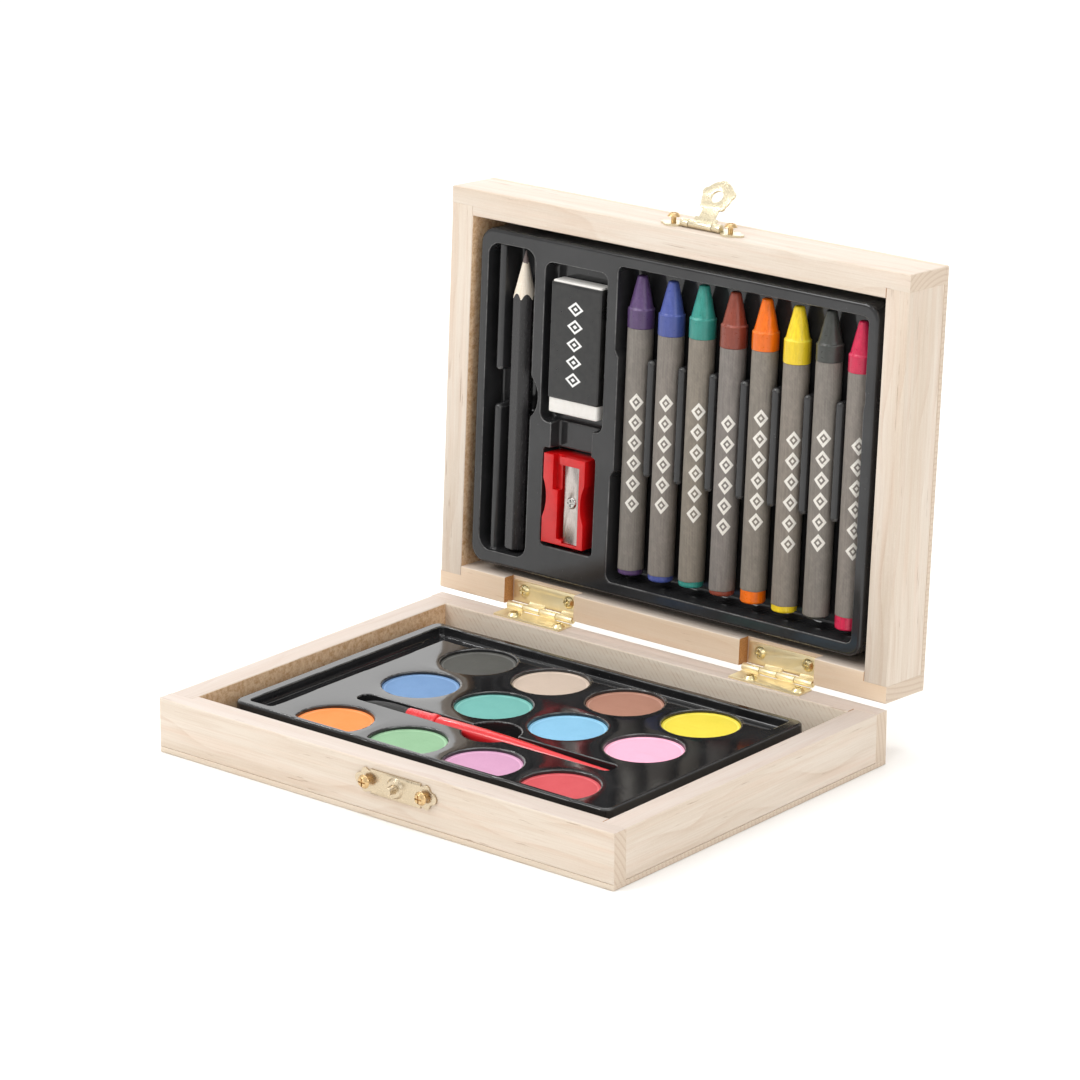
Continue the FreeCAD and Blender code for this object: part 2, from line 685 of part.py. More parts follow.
def tray(name, cx, cy, w, d, top, floor, corner, pockets, pocket_bodies,
         grown_bodies, islands):
    """A formed sheet: a raised plateau with pockets on a thin flange."""
    ht = top - floor
    x0, y0 = cx - w / 2, cy - d / 2
    outer = slab(name + "_outer", x0, y0, floor, w, d, ht, corner)
    pocket = fuse(name + "_pockets", pockets + pocket_bodies)
    if islands:
        pocket = cut(name + "_pockets_cut", pocket,
                     fuse(name + "_islands", islands))
    shell = cut(name + "_shell", outer, pocket)
    inner = slab(name + "_inner", x0 + p.skin, y0 + p.skin, floor - 1,
                 w - 2 * p.skin, d - 2 * p.skin, ht - p.skin + 1,
                 Expr.of(corner) - p.skin)
    core = cut(name + "_core", inner, fuse(name + "_grown", grown_bodies))
    shell = cut(name + "_skin", shell, core)
    fx = p.box_w - 2 * p.wall - 2 * p.tray_slack
    fy = p.box_d - 2 * p.wall - 2 * p.tray_slack
    flange = cut(name + "_flange",
                 slab(name + "_flange_raw", -fx / 2, -fy / 2, floor, fx, fy,
                      p.skin, 2.0),
                 box(name + "_flange_open", x0 + p.skin, y0 + p.skin, floor - 1,
                     w - 2 * p.skin, d - 2 * p.skin, p.skin + 2))
    return fuse(name, [shell, flange])


ptop = p.ptray_top
pans_x = [p.pan_x + i * p.pan_pitch for i in range(4)]
rows = [("back", p.pan_back_y), ("mid", p.pan_mid_y), ("front", p.pan_front_y)]
pockets, outers = [], []


def pocket_pair(name, x, y, deep, lx, ly, top, more=1.0):
    pockets.append(box(name, x, y, top - deep, lx, ly, deep + more))
    outers.append(box(name + "_out", x - p.skin, y - p.skin,
                      top - deep - p.skin, lx + 2 * p.skin, ly + 2 * p.skin,
                      deep + p.skin + more))


def round_pair(name, x, y, deep, r, top, more=1.0):
    pockets.append(rod(name, x, y, top - deep, r, deep + more))
    outers.append(rod(name + "_out", x, y, top - deep - p.skin, r + p.skin,
                      deep + p.skin + more))


pocket_pair("slot", p.slot_x, p.slot_y, p.slot_deep, p.slot_w,
            p.chan_end - p.slot_y, ptop)
pocket_pair("channel", p.slot_x, p.chan_y, p.slot_deep, p.chan_x - p.slot_x,
            p.chan_end - p.chan_y, ptop)
islands = []
ring_cuts = []
for i, x in enumerate(pans_x):
    islands.append(rod("pan_ring%d" % i, x, p.pan_back_y, ptop - 8,
                       p.pan_ring_r, Expr.of(12)))
edge_tool = cut("channel_open", fuse("channel_both", pockets[:]),
                fuse("pan_rings", islands))
pockets = [edge_tool]
wells = []
for row, y in rows:
    for i, x in enumerate(pans_x):
        round_pair("pan_%s%d" % (row, i), x, y, p.pan_deep, p.pan_r, ptop)
        wells.append((row, i, x, y))
# the front row is cut straight along its front
chord = box("pan_chord", -half_w, p.pan_chord_y - 20, ptop - 12, p.box_w,
            Expr.of(20), Expr.of(16))
chord_out = box("pan_chord_out", -half_w, p.pan_chord_y - p.skin - 20,
                ptop - 12, p.box_w, Expr.of(20), Expr.of(16))
pan_pockets = cut("pans_cut", fuse("pans_all", pockets[1:]), chord)
pan_outers = cut("pans_out_cut", fuse("pans_out_all", outers[2:]), chord_out)
pockets = [pockets[0], pan_pockets]
outers = outers[:2] + [pan_outers]
pocket_pair("groove", p.groove_x, p.groove_y - p.groove_half, p.groove_deep,
            p.groove_end - p.groove_x, p.groove_half * 2, ptop)
round_pair("thumb", p.thumb_x, p.thumb_y, p.thumb_deep, p.thumb_r, ptop)
paint_tray = tray("paint_tray", p.ptray_cx, p.ptray_cy, p.ptray_w, p.ptray_d,
                  ptop, p.ply, p.ptray_corner, pockets, [], outers, [])
keep(paint_tray, "paint_tray")

COLOURS = ["black", "beige", "brown", "yellow", "blue", "teal", "sky", "pink",
           "orange", "green", "lilac", "red"]
for n, (row, i, x, y) in enumerate(wells):
    name = "cake_" + COLOURS[n]
    cake = rod(name, x, y, ptop - p.pan_deep, p.cake_r,
               p.pan_deep - p.cake_drop)
    if row == "front":
        cake = cut(name + "_cut", cake,
                   box(name + "_chord", x - 20, p.pan_chord_y + 0.1 - 20,
                       ptop - 12, Expr.of(40), Expr.of(20), Expr.of(16)))
    keep(cake, "paint_" + COLOURS[n])

# lid tray
ltop = -p.ltray_drop
pockets, outers = [], []
islands = []


def below(value):
    """Depth of a pocket below the plateau, from its floor below the rim."""
    return value - p.ltray_drop


pocket_pair("pen", p.pen_x, p.pen_y, below(p.pen_floor), p.pen_w, p.pen_len,
            ltop)
round_pair("thumb_notch", p.notch_cx, p.notch_cy, below(p.notch_floor),
           p.notch_r, ltop)
pocket_pair("eraser_bay", p.ers_x, p.ers_y, below(p.ers_floor), p.ers_w,
            p.ers_len, ltop)
pocket_pair("link_bay", p.link_x, p.link_y, below(p.link_floor), p.link_w,
            p.link_len, ltop)
pocket_pair("sharp_bay", p.shp_x, p.shp_y, below(p.shp_floor), p.shp_w,
            p.shp_len, ltop)
low_len = p.cry_mid_y - p.cry_y
pocket_pair("crayon_low", p.cry_x, p.cry_y, below(p.cry_floor), p.cry_w,
            low_len, ltop)
pocket_pair("crayon_mid", p.cry_mid_x, p.cry_mid_y - 0.5, below(p.cry_floor),
            p.cry_mid_w, p.cry_mid_len + 1, ltop)
pocket_pair("crayon_high", p.cry_x, p.cry_mid_y + p.cry_mid_len,
            below(p.cry_floor), p.cry_w,
            p.cry_y + p.cry_len - p.cry_mid_y - p.cry_mid_len, ltop)
islands.append(box("ridge_low", p.ridge_x, p.pen_y - 1, -p.pen_floor - 2,
                   p.ridge_w, p.ridge_low_end - p.pen_y + 1,
                   p.pen_floor + 2 - p.ridge_top))
islands.append(box("ridge_high", p.ridge_x, p.ridge_high, -p.pen_floor - 2,
                   p.ridge_w, p.pen_y + p.pen_len - p.ridge_high + 1,
                   p.pen_floor + 2 - p.ridge_top))
for i in range(7):
    x = p.crayon_first_x + (i + 0.5) * p.crayon_pitch
    islands.append(box("rib%d" % i, x - p.rib_w / 2, p.cry_mid_y,
                       -p.cry_floor - 2, p.rib_w, p.cry_mid_len,
                       p.cry_floor + 2 - p.rib_top))
lid_tray = tray("lid_tray", zero, zero, p.ltray_w, p.ltray_d, ltop,
                -p.lid_rail_ht, p.ltray_corner, pockets, [], outers, islands)
lid_keep(lid_tray, "lid_tray")

# --------------------------------------------------------------------- brush
tip, fer, end = p.brush_tip_x, p.ferrule_x, p.brush_end_x
handle, _ = revolve_poly("brush_handle_body", [
    (fer, 0), (fer, p.bristle_r), (fer + 1.0, p.bristle_r + 0.1),
    (fer + 8.0, p.brush_r - 0.05), (fer + 8.3, p.brush_r + 0.15),
    (fer + 10.3, p.brush_r + 0.15), (fer + 10.6, p.brush_r - 0.15),
    (fer + 25, p.brush_r), (fer + 40, p.brush_r - 0.35),
    (end - 1.0, p.brush_r - 1.35), (end - 0.3, p.brush_r - 1.6), (end, 0)])
at_brush = Placement(Vector(0, p.groove_y.v, p.brush_z.v), Rotation())
keep(handle, "brush_handle", at_brush)
bristles, _ = revolve_poly("brush_bristle_body", [
    (tip, 0), (tip + 1.5, Expr.of(0.55)), (tip + 5, Expr.of(1.5)),
    (tip + 10, p.bristle_r - 0.05), (fer - 2, p.bristle_r),
    (fer, p.bristle_r - 0.1), (fer, 0)])
keep(bristles, "brush_bristles", at_brush)


# ------------------------------------------------------------------- crayons
# how far each crayon has slid down, and how much wax its sleeve leaves bare
CRAYONS = [("purple", 0.0, 1.6, 1.5), ("blue", 0.2, 1.8, 0.9),
           ("green", 0.9, 1.8, 1.3), ("brown", 0.8, 1.5, 0.7),
           ("orange", 0.8, 4.0, 1.9), ("yellow", 0.5, 2.0, 0.4),
           ("black", 1.2, 0.8, 2.2), ("red", 0.0, 4.0, 2.2)]
for n, (colour, slid, bare, lift) in enumerate(CRAYONS):
    x = p.crayon_first_x + n * p.crayon_pitch
    y0 = Expr.of(-44.6 + slid)
    total = p.crayon_len
    cone_at = total - p.cone_len
    collar_at = cone_at - p.collar_len + lift
    stick, _ = revolve_poly("wax_" + colour, [
        (0, 0), (0, p.wax_r - 0.25), (Expr.of(0.25), p.wax_r),
        (collar_at, p.wax_r), (collar_at, p.collar_r),
        (cone_at, p.collar_r), (cone_at + 0.3, p.collar_r - 0.35),
        (total - 0.5, p.crayon_tip_r), (total, p.crayon_tip_r - 0.45),
        (total, 0)])
    sleeve, _ = revolve_poly("paper_" + colour, [
        (Expr.of(bare), p.wax_r), (Expr.of(bare), p.sleeve_r),
        (collar_at, p.sleeve_r), (collar_at, p.wax_r)])
    at = LID.multiply(Placement(Vector(x.v, y0.v, -p.crayon_deep.v),
                                Rotation(Vector(0, 0, 1), 90)))
    keep(stick, "crayon_%s_wax" % colour, at)
    keep(sleeve, "crayon_%s_sleeve" % colour, at)

# -------------------------------------------------------------------- pencil
# the hexagon has one corner towards the front of the lid
hexagon = doc.addObject("Part::Prism", "pencil_stock")
hexagon.Polygon = 6
bind(hexagon, "Circumradius", p.pencil_r)
bind(hexagon, "Height", p.pencil_len)
hexagon.Placement = Placement(Vector(0, 0, 0), Rotation(Vector(0, 1, 0), 90)
                              .multiply(Rotation(Vector(0, 0, 1), 8)))
taper, _ = revolve_poly("pencil_taper", [
    (-1, 0), (-1, Expr.of(6)), (p.pencil_len - p.pencil_cone - 6, Expr.of(6)),
    (p.pencil_len - p.pencil_cone, p.pencil_r),
    (p.pencil_len - 0.2, Expr.of(0.25)), (p.pencil_len, 0)])
taper_lead, _ = revolve_poly("pencil_taper_lead", [
    (-1, 0), (-1, Expr.of(6)), (p.pencil_len - p.pencil_cone - 6, Expr.of(6)),
    (p.pencil_len - p.pencil_cone, p.pencil_r),
    (p.pencil_len - 0.2, Expr.of(0.25)), (p.pencil_len, 0)])
bore = rod("pencil_bore", Expr.of(-1), zero, zero, p.lead_r,
           p.pencil_len + 2, "x")
casing = cut("pencil_casing", common("pencil_pointed", hexagon, taper), bore)
lead = common("pencil_lead", rod("pencil_core", zero, zero, zero, p.lead_r,
                                 p.pencil_len, "x"), taper_lead)
at = LID.multiply(Placement(Vector(p.pencil_cx.v, p.pencil_y.v,
                                   -p.pencil_deep.v),
                            Rotation(Vector(0, 0, 1), 90)))
keep(casing, "pencil_casing", at)
keep(lead, "pencil_lead", at)

# -------------------------------------------------------------------- eraser
e_z0 = -(p.eraser_top + p.eraser_t)
block = slab("eraser_slab", p.eraser_x + p.paper_t, p.eraser_y,
             e_z0 + p.paper_t, p.eraser_w - 2 * p.paper_t, p.eraser_len,
             p.eraser_t - 2 * p.paper_t, 0.8)
lid_keep(block, "eraser_block")
sleeve_y = p.eraser_y + p.eraser_bare
sleeve_len = p.eraser_len - p.eraser_bare - 0.6
wrap = cut("eraser_wrap",
           box("eraser_wrap_out", p.eraser_x, sleeve_y, e_z0, p.eraser_w,
               sleeve_len, p.eraser_t),
           box("eraser_wrap_in", p.eraser_x + p.paper_t, sleeve_y - 1,
               e_z0 + p.paper_t, p.eraser_w - 2 * p.paper_t, sleeve_len + 2,
               p.eraser_t - 2 * p.paper_t))
lid_keep(wrap, "eraser_sleeve")

# ----------------------------------------------------------------- sharpener
s_z1 = -p.sharp_top
s_z0 = s_z1 - p.sharp_t
raw = box("sharp_raw", p.sharp_x, p.sharp_y, s_z0, p.sharp_w, p.sharp_len,
          p.sharp_t)
mid_y = p.sharp_y + p.sharp_len / 2
cuts = [rod("waist_left", p.sharp_x - p.waist_r + p.waist_deep, mid_y,
            s_z0 - 1, p.waist_r, p.sharp_t + 2),
        rod("waist_right", p.sharp_x + p.sharp_w + p.waist_r - p.waist_deep,
            mid_y, s_z0 - 1, p.waist_r, p.sharp_t + 2),
        box("blade_bed", p.blade_x - 0.15, p.blade_y - 0.15, s_z1 - 1.1,
            p.blade_w + 0.3, p.blade_len + 0.3, Expr.of(3)),
        box("chip_slot", p.blade_x - 2.2, p.blade_y + 0.8, s_z1 - 4.4,
            Expr.of(2.2), p.blade_len - 0.6, Expr.of(6)),
        box("chip_mouth", p.blade_x - 4.2, p.blade_y + 15.6, s_z1 - 2.2,
            Expr.of(2.4), p.sharp_len, Expr.of(4)),
        cone("pencil_cone_hole", p.blade_x + 0.4, p.sharp_y + 0.1,
             s_z1 - 4.4, Expr.of(3.1), Expr.of(0.6), Expr.of(22.9), "y"),
        rod("pencil_mouth", p.blade_x + 0.4, p.sharp_y - 1.7,
            s_z1 - 4.4, Expr.of(3.1), Expr.of(2), "y"),
        rod("blade_screw_pilot", p.blade_x + p.blade_w / 2, mid_y,
            s_z1 - 4.0, Expr.of(0.7), Expr.of(5))]
lid_keep(cut("sharpener_body", raw, fuse("sharp_cuts", cuts)),
         "sharpener_body")
blade = cut("sharpener_blade",
            box("blade_raw", p.blade_x, p.blade_y, s_z1 - 1.1, p.blade_w,
                p.blade_len, p.blade_t),
            rod("blade_hole", p.blade_x + p.blade_w / 2, mid_y, s_z1 - 4,
                Expr.of(0.7), Expr.of(6)))
lid_keep(blade, "sharpener_blade")
b_top = s_z1 - 1.1 + p.blade_t
b_screw = cut("sharpener_screw",
              fuse("blade_screw", [
                  rod("blade_screw_shank", p.blade_x + p.blade_w / 2, mid_y,
                      s_z1 - 4.0, Expr.of(0.7), b_top - s_z1 + 4.0),
                  cone("blade_screw_head", p.blade_x + p.blade_w / 2, mid_y,
                       b_top, Expr.of(1.85), Expr.of(1.4), Expr.of(0.6))]),
              fuse("blade_screw_slot", [
                  box("blade_slot_a", p.blade_x + p.blade_w / 2 - 1.1,
                      mid_y - 0.24, b_top + 0.25, Expr.of(2.2), Expr.of(0.48),
                      Expr.of(1)),
                  box("blade_slot_b", p.blade_x + p.blade_w / 2 - 0.24,
                      mid_y - 1.1, b_top + 0.25, Expr.of(0.48), Expr.of(2.2),
                      Expr.of(1))]))
lid_keep(b_screw, "sharpener_screw")

# -------------------------------------------------------------------- output
doc.recompute()
for obj in doc.Objects:
    for state in obj.State:
        if "Invalid" in state or "Error" in state:
            raise RuntimeError("%s is %s" % (obj.Name, state))
os.makedirs("parts", exist_ok=True)
for label, obj in OUT:
    shape = obj.Shape
    if shape.isNull() or not shape.isValid() or not shape.Solids:
        raise RuntimeError("bad shape: " + label)
    shape.exportStep("parts/%s.step" % label)
print(len(OUT), "parts written")
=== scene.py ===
import json
import math

import bmesh
import bpy
import numpy as np
from mathutils import Matrix, Vector

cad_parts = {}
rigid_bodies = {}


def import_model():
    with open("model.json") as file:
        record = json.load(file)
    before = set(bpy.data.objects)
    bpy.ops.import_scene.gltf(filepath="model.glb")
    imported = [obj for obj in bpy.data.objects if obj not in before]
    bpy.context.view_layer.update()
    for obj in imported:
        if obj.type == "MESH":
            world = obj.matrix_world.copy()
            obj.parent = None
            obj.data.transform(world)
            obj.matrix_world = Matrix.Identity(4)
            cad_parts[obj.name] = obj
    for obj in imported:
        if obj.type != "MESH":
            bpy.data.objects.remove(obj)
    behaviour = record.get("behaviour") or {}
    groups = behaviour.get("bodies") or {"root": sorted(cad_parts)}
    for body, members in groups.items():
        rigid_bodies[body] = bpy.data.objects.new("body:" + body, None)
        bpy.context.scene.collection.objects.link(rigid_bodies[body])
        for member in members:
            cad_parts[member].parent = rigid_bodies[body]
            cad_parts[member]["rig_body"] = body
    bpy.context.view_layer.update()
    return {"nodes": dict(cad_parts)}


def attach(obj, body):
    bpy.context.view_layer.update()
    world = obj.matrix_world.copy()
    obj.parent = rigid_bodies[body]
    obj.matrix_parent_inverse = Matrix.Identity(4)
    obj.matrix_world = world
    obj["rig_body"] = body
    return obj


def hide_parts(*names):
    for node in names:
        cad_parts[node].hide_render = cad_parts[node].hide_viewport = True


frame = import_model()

MM = 0.001
scene = bpy.context.scene
nodes = frame["nodes"]

# ------------------------------------------------------------------ the frames
# The lid's own frame: X along the width, Y from the hinge side to the latch
# side, Z out of the lid's mouth, with the rim plane at zero. Millimetres.
LEAN = math.radians(3.15)
PIN_Y, PIN_Z = 62.0, 17.8


def lid_origin():
    th = math.radians(90) + LEAN
    dy, dz = -PIN_Y, 16.5 - PIN_Z
    return (PIN_Y + dy * math.cos(th) + dz * math.sin(th),
            PIN_Z - dy * math.sin(th) + dz * math.cos(th))


OY, OZ = lid_origin()
S, C = math.sin(LEAN), math.cos(LEAN)
LID = Matrix(((1, 0, 0, 0), (0, S, -C, OY * MM), (0, C, S, OZ * MM),
              (0, 0, 0, 1)))


def lid_at(x, y, z):
    """A frame in the lid whose Z runs up the lid and whose -Y faces out."""
    m = LID @ Matrix.Translation(Vector((x, y, z)) * MM)
    turn = Matrix(((1, 0, 0, 0), (0, 0, 1, 0), (0, -1, 0, 0), (0, 0, 0, 1)))
    return m @ turn


# --------------------------------------------------------------- mesh helpers
def mesh_object(name, verts, faces, matrix=None, body=None, replaces=(),
                slot=None, mats=(), normals=None, smooth=True):
    me = bpy.data.meshes.new(name)
    me.from_pydata([tuple(v) for v in np.asarray(verts, float) * MM], [],
                   [tuple(int(i) for i in f) for f in faces])
    me.validate()
    me.update()
    if smooth:
        me.shade_smooth()
    if normals is not None:
        me.normals_split_custom_set_from_vertices([tuple(n) for n in normals])
    ob = bpy.data.objects.new(name, me)
    scene.collection.objects.link(ob)
    for m in mats:
        me.materials.append(m)
    if matrix is not None:
        ob.matrix_world = matrix
    settle(ob, body, replaces)
    return ob


def settle(ob, body, replaces):
    if body:
        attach(ob, body)
    if replaces:
        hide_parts(*([replaces] if isinstance(replaces, str)
                          else list(replaces)))


def sharp_by_angle(ob, degrees):
    """Smooth shading with hard edges only where the surface really turns."""
    bm = bmesh.new()
    bm.from_mesh(ob.data)
    lim = math.radians(degrees)
    for e in bm.edges:
        e.smooth = len(e.link_faces) == 2 and e.calc_face_angle(3.2) < lim
    for f in bm.faces:
        f.smooth = True
    bm.to_mesh(ob.data)
    bm.free()


def lathe(name, profile, segs=72, wobble=None, close=True, **kw):
    """Turns (z, r) pairs about Z. A first or last radius of 0 closes it."""
    verts, rings = [], []
    for z, r in profile:
        if r <= 1e-9:
            rings.append([len(verts)])
            verts.append((0, 0, z))
            continue
        ring = []
        for i in range(segs):
            a = 2 * math.pi * i / segs
            rr, zz = (r, z) if wobble is None else wobble(a, z, r)
            ring.append(len(verts))
            verts.append((rr * math.sin(a), -rr * math.cos(a), zz))
        rings.append(ring)
    faces = []
    pairs = list(zip(rings[:-1], rings[1:]))
    if close == "loop":
        pairs.append((rings[-1], rings[0]))
    for a, b in pairs:
        if len(a) == 1 and len(b) == 1:
            continue
        for i in range(segs):
            j = (i + 1) % segs
            if len(a) == 1:
                faces.append((a[0], b[j], b[i]))
            elif len(b) == 1:
                faces.append((a[i], a[j], b[0]))
            else:
                faces.append((a[i], a[j], b[j], b[i]))
    return mesh_object(name, verts, faces, **kw)


def crisp(node, width, name=None, segs=2, angle=32, mats=(), dissolve=0.35,
          weigh=None):
    """A CAD node's own shape with its sharp edges slightly broken."""
    src = nodes[node]
    bm = bmesh.new()
    bm.from_mesh(src.data)
    bmesh.ops.remove_doubles(bm, verts=bm.verts, dist=3e-6)
    bmesh.ops.dissolve_limit(bm, angle_limit=math.radians(dissolve),
                             verts=bm.verts, edges=bm.edges)
    if weigh:
        lay = bm.edges.layers.float.new("bevel_weight_edge")
        lim = math.radians(angle)
        for e in bm.edges:
            if len(e.link_faces) == 2 and e.calc_face_angle(0.0) > lim:
                e[lay] = weigh(e.verts[0].co / MM, e.verts[1].co / MM)
    me = bpy.data.meshes.new(node + ".raw")
    bm.to_mesh(me)
    bm.free()
    tmp = bpy.data.objects.new(node + ".raw", me)
    scene.collection.objects.link(tmp)
    me.shade_smooth()
    mod = tmp.modifiers.new("edge", "BEVEL")
    mod.width = width * MM
    mod.segments = segs
    mod.limit_method = "WEIGHT" if weigh else "ANGLE"
    mod.angle_limit = math.radians(angle)
    mod.harden_normals = True
    mod.use_clamp_overlap = True
    bpy.context.view_layer.update()
    dg = bpy.context.evaluated_depsgraph_get()
    out = bpy.data.meshes.new_from_object(tmp.evaluated_get(dg))
    bpy.data.objects.remove(tmp)
    out.name = name or node + "_finish"
    ob = bpy.data.objects.new(name or node + "_finish", out)
    scene.collection.objects.link(ob)
    out.materials.clear()
    for m in mats:
        out.materials.append(m)
    settle(ob, src["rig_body"], node)
    return ob


# ----------------------------------------------------------- shader shorthand
def lin(c):
    """An 0-255 display colour as linear light."""
    out = []
    for v in c:
        v = v / 255.0
        out.append(v / 12.92 if v <= 0.04045 else ((v + 0.055) / 1.055) ** 2.4)
    return (*out, 1.0)


class Shade:
    """One node material; every call adds a node and returns its output."""

    def __init__(self, name):
        self.m = bpy.data.materials.new(name)
        self.m.use_nodes = True
        self.t = self.m.node_tree
        self.t.nodes.clear()
        self.out = self.t.nodes.new("ShaderNodeOutputMaterial")
        self.b = self.t.nodes.new("ShaderNodeBsdfPrincipled")
        self.t.links.new(self.b.outputs[0], self.out.inputs[0])

    def link(self, a, socket):
        if isinstance(a, bpy.types.NodeSocket):
            self.t.links.new(a, socket)
        elif a is not None:
            socket.default_value = a

    def set(self, **kw):
        names = {"color": "Base Color", "rough": "Roughness",
                 "metal": "Metallic", "ior": "IOR", "coat": "Coat Weight",
                 "coat_rough": "Coat Roughness", "normal": "Normal",
                 "sss": "Subsurface Weight", "sss_radius": "Subsurface Radius",
                 "sss_scale": "Subsurface Scale", "spec": "Specular IOR Level",
                 "sheen": "Sheen Weight", "aniso": "Anisotropic"}
        for k, v in kw.items():
            self.link(v, self.b.inputs[names[k]])
        return self.m

    def coords(self):
        n = self.t.nodes.new("ShaderNodeTexCoord")
        return n.outputs["Object"]

    def mm(self):
        """Object coordinates in millimetres."""
        return self.vmath("SCALE", self.coords(), scale=1000.0)

    def normal_world(self):
        n = self.t.nodes.new("ShaderNodeNewGeometry")
        return n.outputs["Normal"]

    def attribute(self, name):
        n = self.t.nodes.new("ShaderNodeAttribute")
        n.attribute_name = name
        return n.outputs["Fac"]

    def sep(self, v):
        n = self.t.nodes.new("ShaderNodeSeparateXYZ")
        self.link(v, n.inputs[0])
        return n.outputs[0], n.outputs[1], n.outputs[2]

    def comb(self, x, y, z):
        n = self.t.nodes.new("ShaderNodeCombineXYZ")
        self.link(x, n.inputs[0])
        self.link(y, n.inputs[1])
        self.link(z, n.inputs[2])
        return n.outputs[0]

    def vmath(self, op, a, b=None, scale=None):
        n = self.t.nodes.new("ShaderNodeVectorMath")
        n.operation = op
        self.link(a, n.inputs[0])
        if b is not None:
            self.link(b, n.inputs[1])
        if scale is not None:
            n.inputs["Scale"].default_value = scale
        return n.outputs["Value"] if op in ("LENGTH", "DOT_PRODUCT") \
            else n.outputs[0]

    def math(self, op, a, b=None, c=None, clamp=False):
        n = self.t.nodes.new("ShaderNodeMath")
        n.operation = op
        n.use_clamp = clamp
        self.link(a, n.inputs[0])
        if b is not None:
            self.link(b, n.inputs[1])
        if c is not None:
            self.link(c, n.inputs[2])
        return n.outputs[0]

    def noise(self, v, scale=1.0, detail=3.0, rough=0.5, distort=0.0):
        n = self.t.nodes.new("ShaderNodeTexNoise")
        self.link(v, n.inputs["Vector"])
        n.inputs["Scale"].default_value = scale
        n.inputs["Detail"].default_value = detail
        n.inputs["Roughness"].default_value = rough
        n.inputs["Distortion"].default_value = distort
        return n.outputs["Fac"]

    def voronoi(self, v, scale=1.0, feature="F1", out="Distance"):
        n = self.t.nodes.new("ShaderNodeTexVoronoi")
        n.feature = feature
        self.link(v, n.inputs["Vector"])
        n.inputs["Scale"].default_value = scale
        return n.outputs[out]

    def ramp(self, fac, stops, interp="LINEAR"):
        n = self.t.nodes.new("ShaderNodeValToRGB")
        n.color_ramp.interpolation = interp
        els = n.color_ramp.elements
        while len(els) < len(stops):
            els.new(0.5)
        for e, (pos, col) in zip(els, stops):
            e.position = pos
            e.color = (col, col, col, 1) if isinstance(col, (int, float)) \
                else col
        self.link(fac, n.inputs[0])
        return n.outputs[0]

    def mix(self, fac, a, b, mode="MIX"):
        n = self.t.nodes.new("ShaderNodeMix")
        n.data_type = "RGBA"
        n.blend_type = mode
        n.clamp_factor = True
        self.link(fac, n.inputs[0])
        self.link(a, n.inputs[6])
        self.link(b, n.inputs[7])
        return n.outputs[2]

    def remap(self, v, a, b, c, d):
        n = self.t.nodes.new("ShaderNodeMapRange")
        self.link(v, n.inputs[0])
        for i, x in enumerate((a, b, c, d), start=1):
            n.inputs[i].default_value = x
        return n.outputs[0]

    def bump(self, height, strength=0.3, distance=0.0001, normal=None):
        n = self.t.nodes.new("ShaderNodeBump")
        n.inputs["Strength"].default_value = strength
        n.inputs["Distance"].default_value = distance
        self.link(height, n.inputs["Height"])
        if normal is not None:
            self.link(normal, n.inputs["Normal"])
        return n.outputs[0]


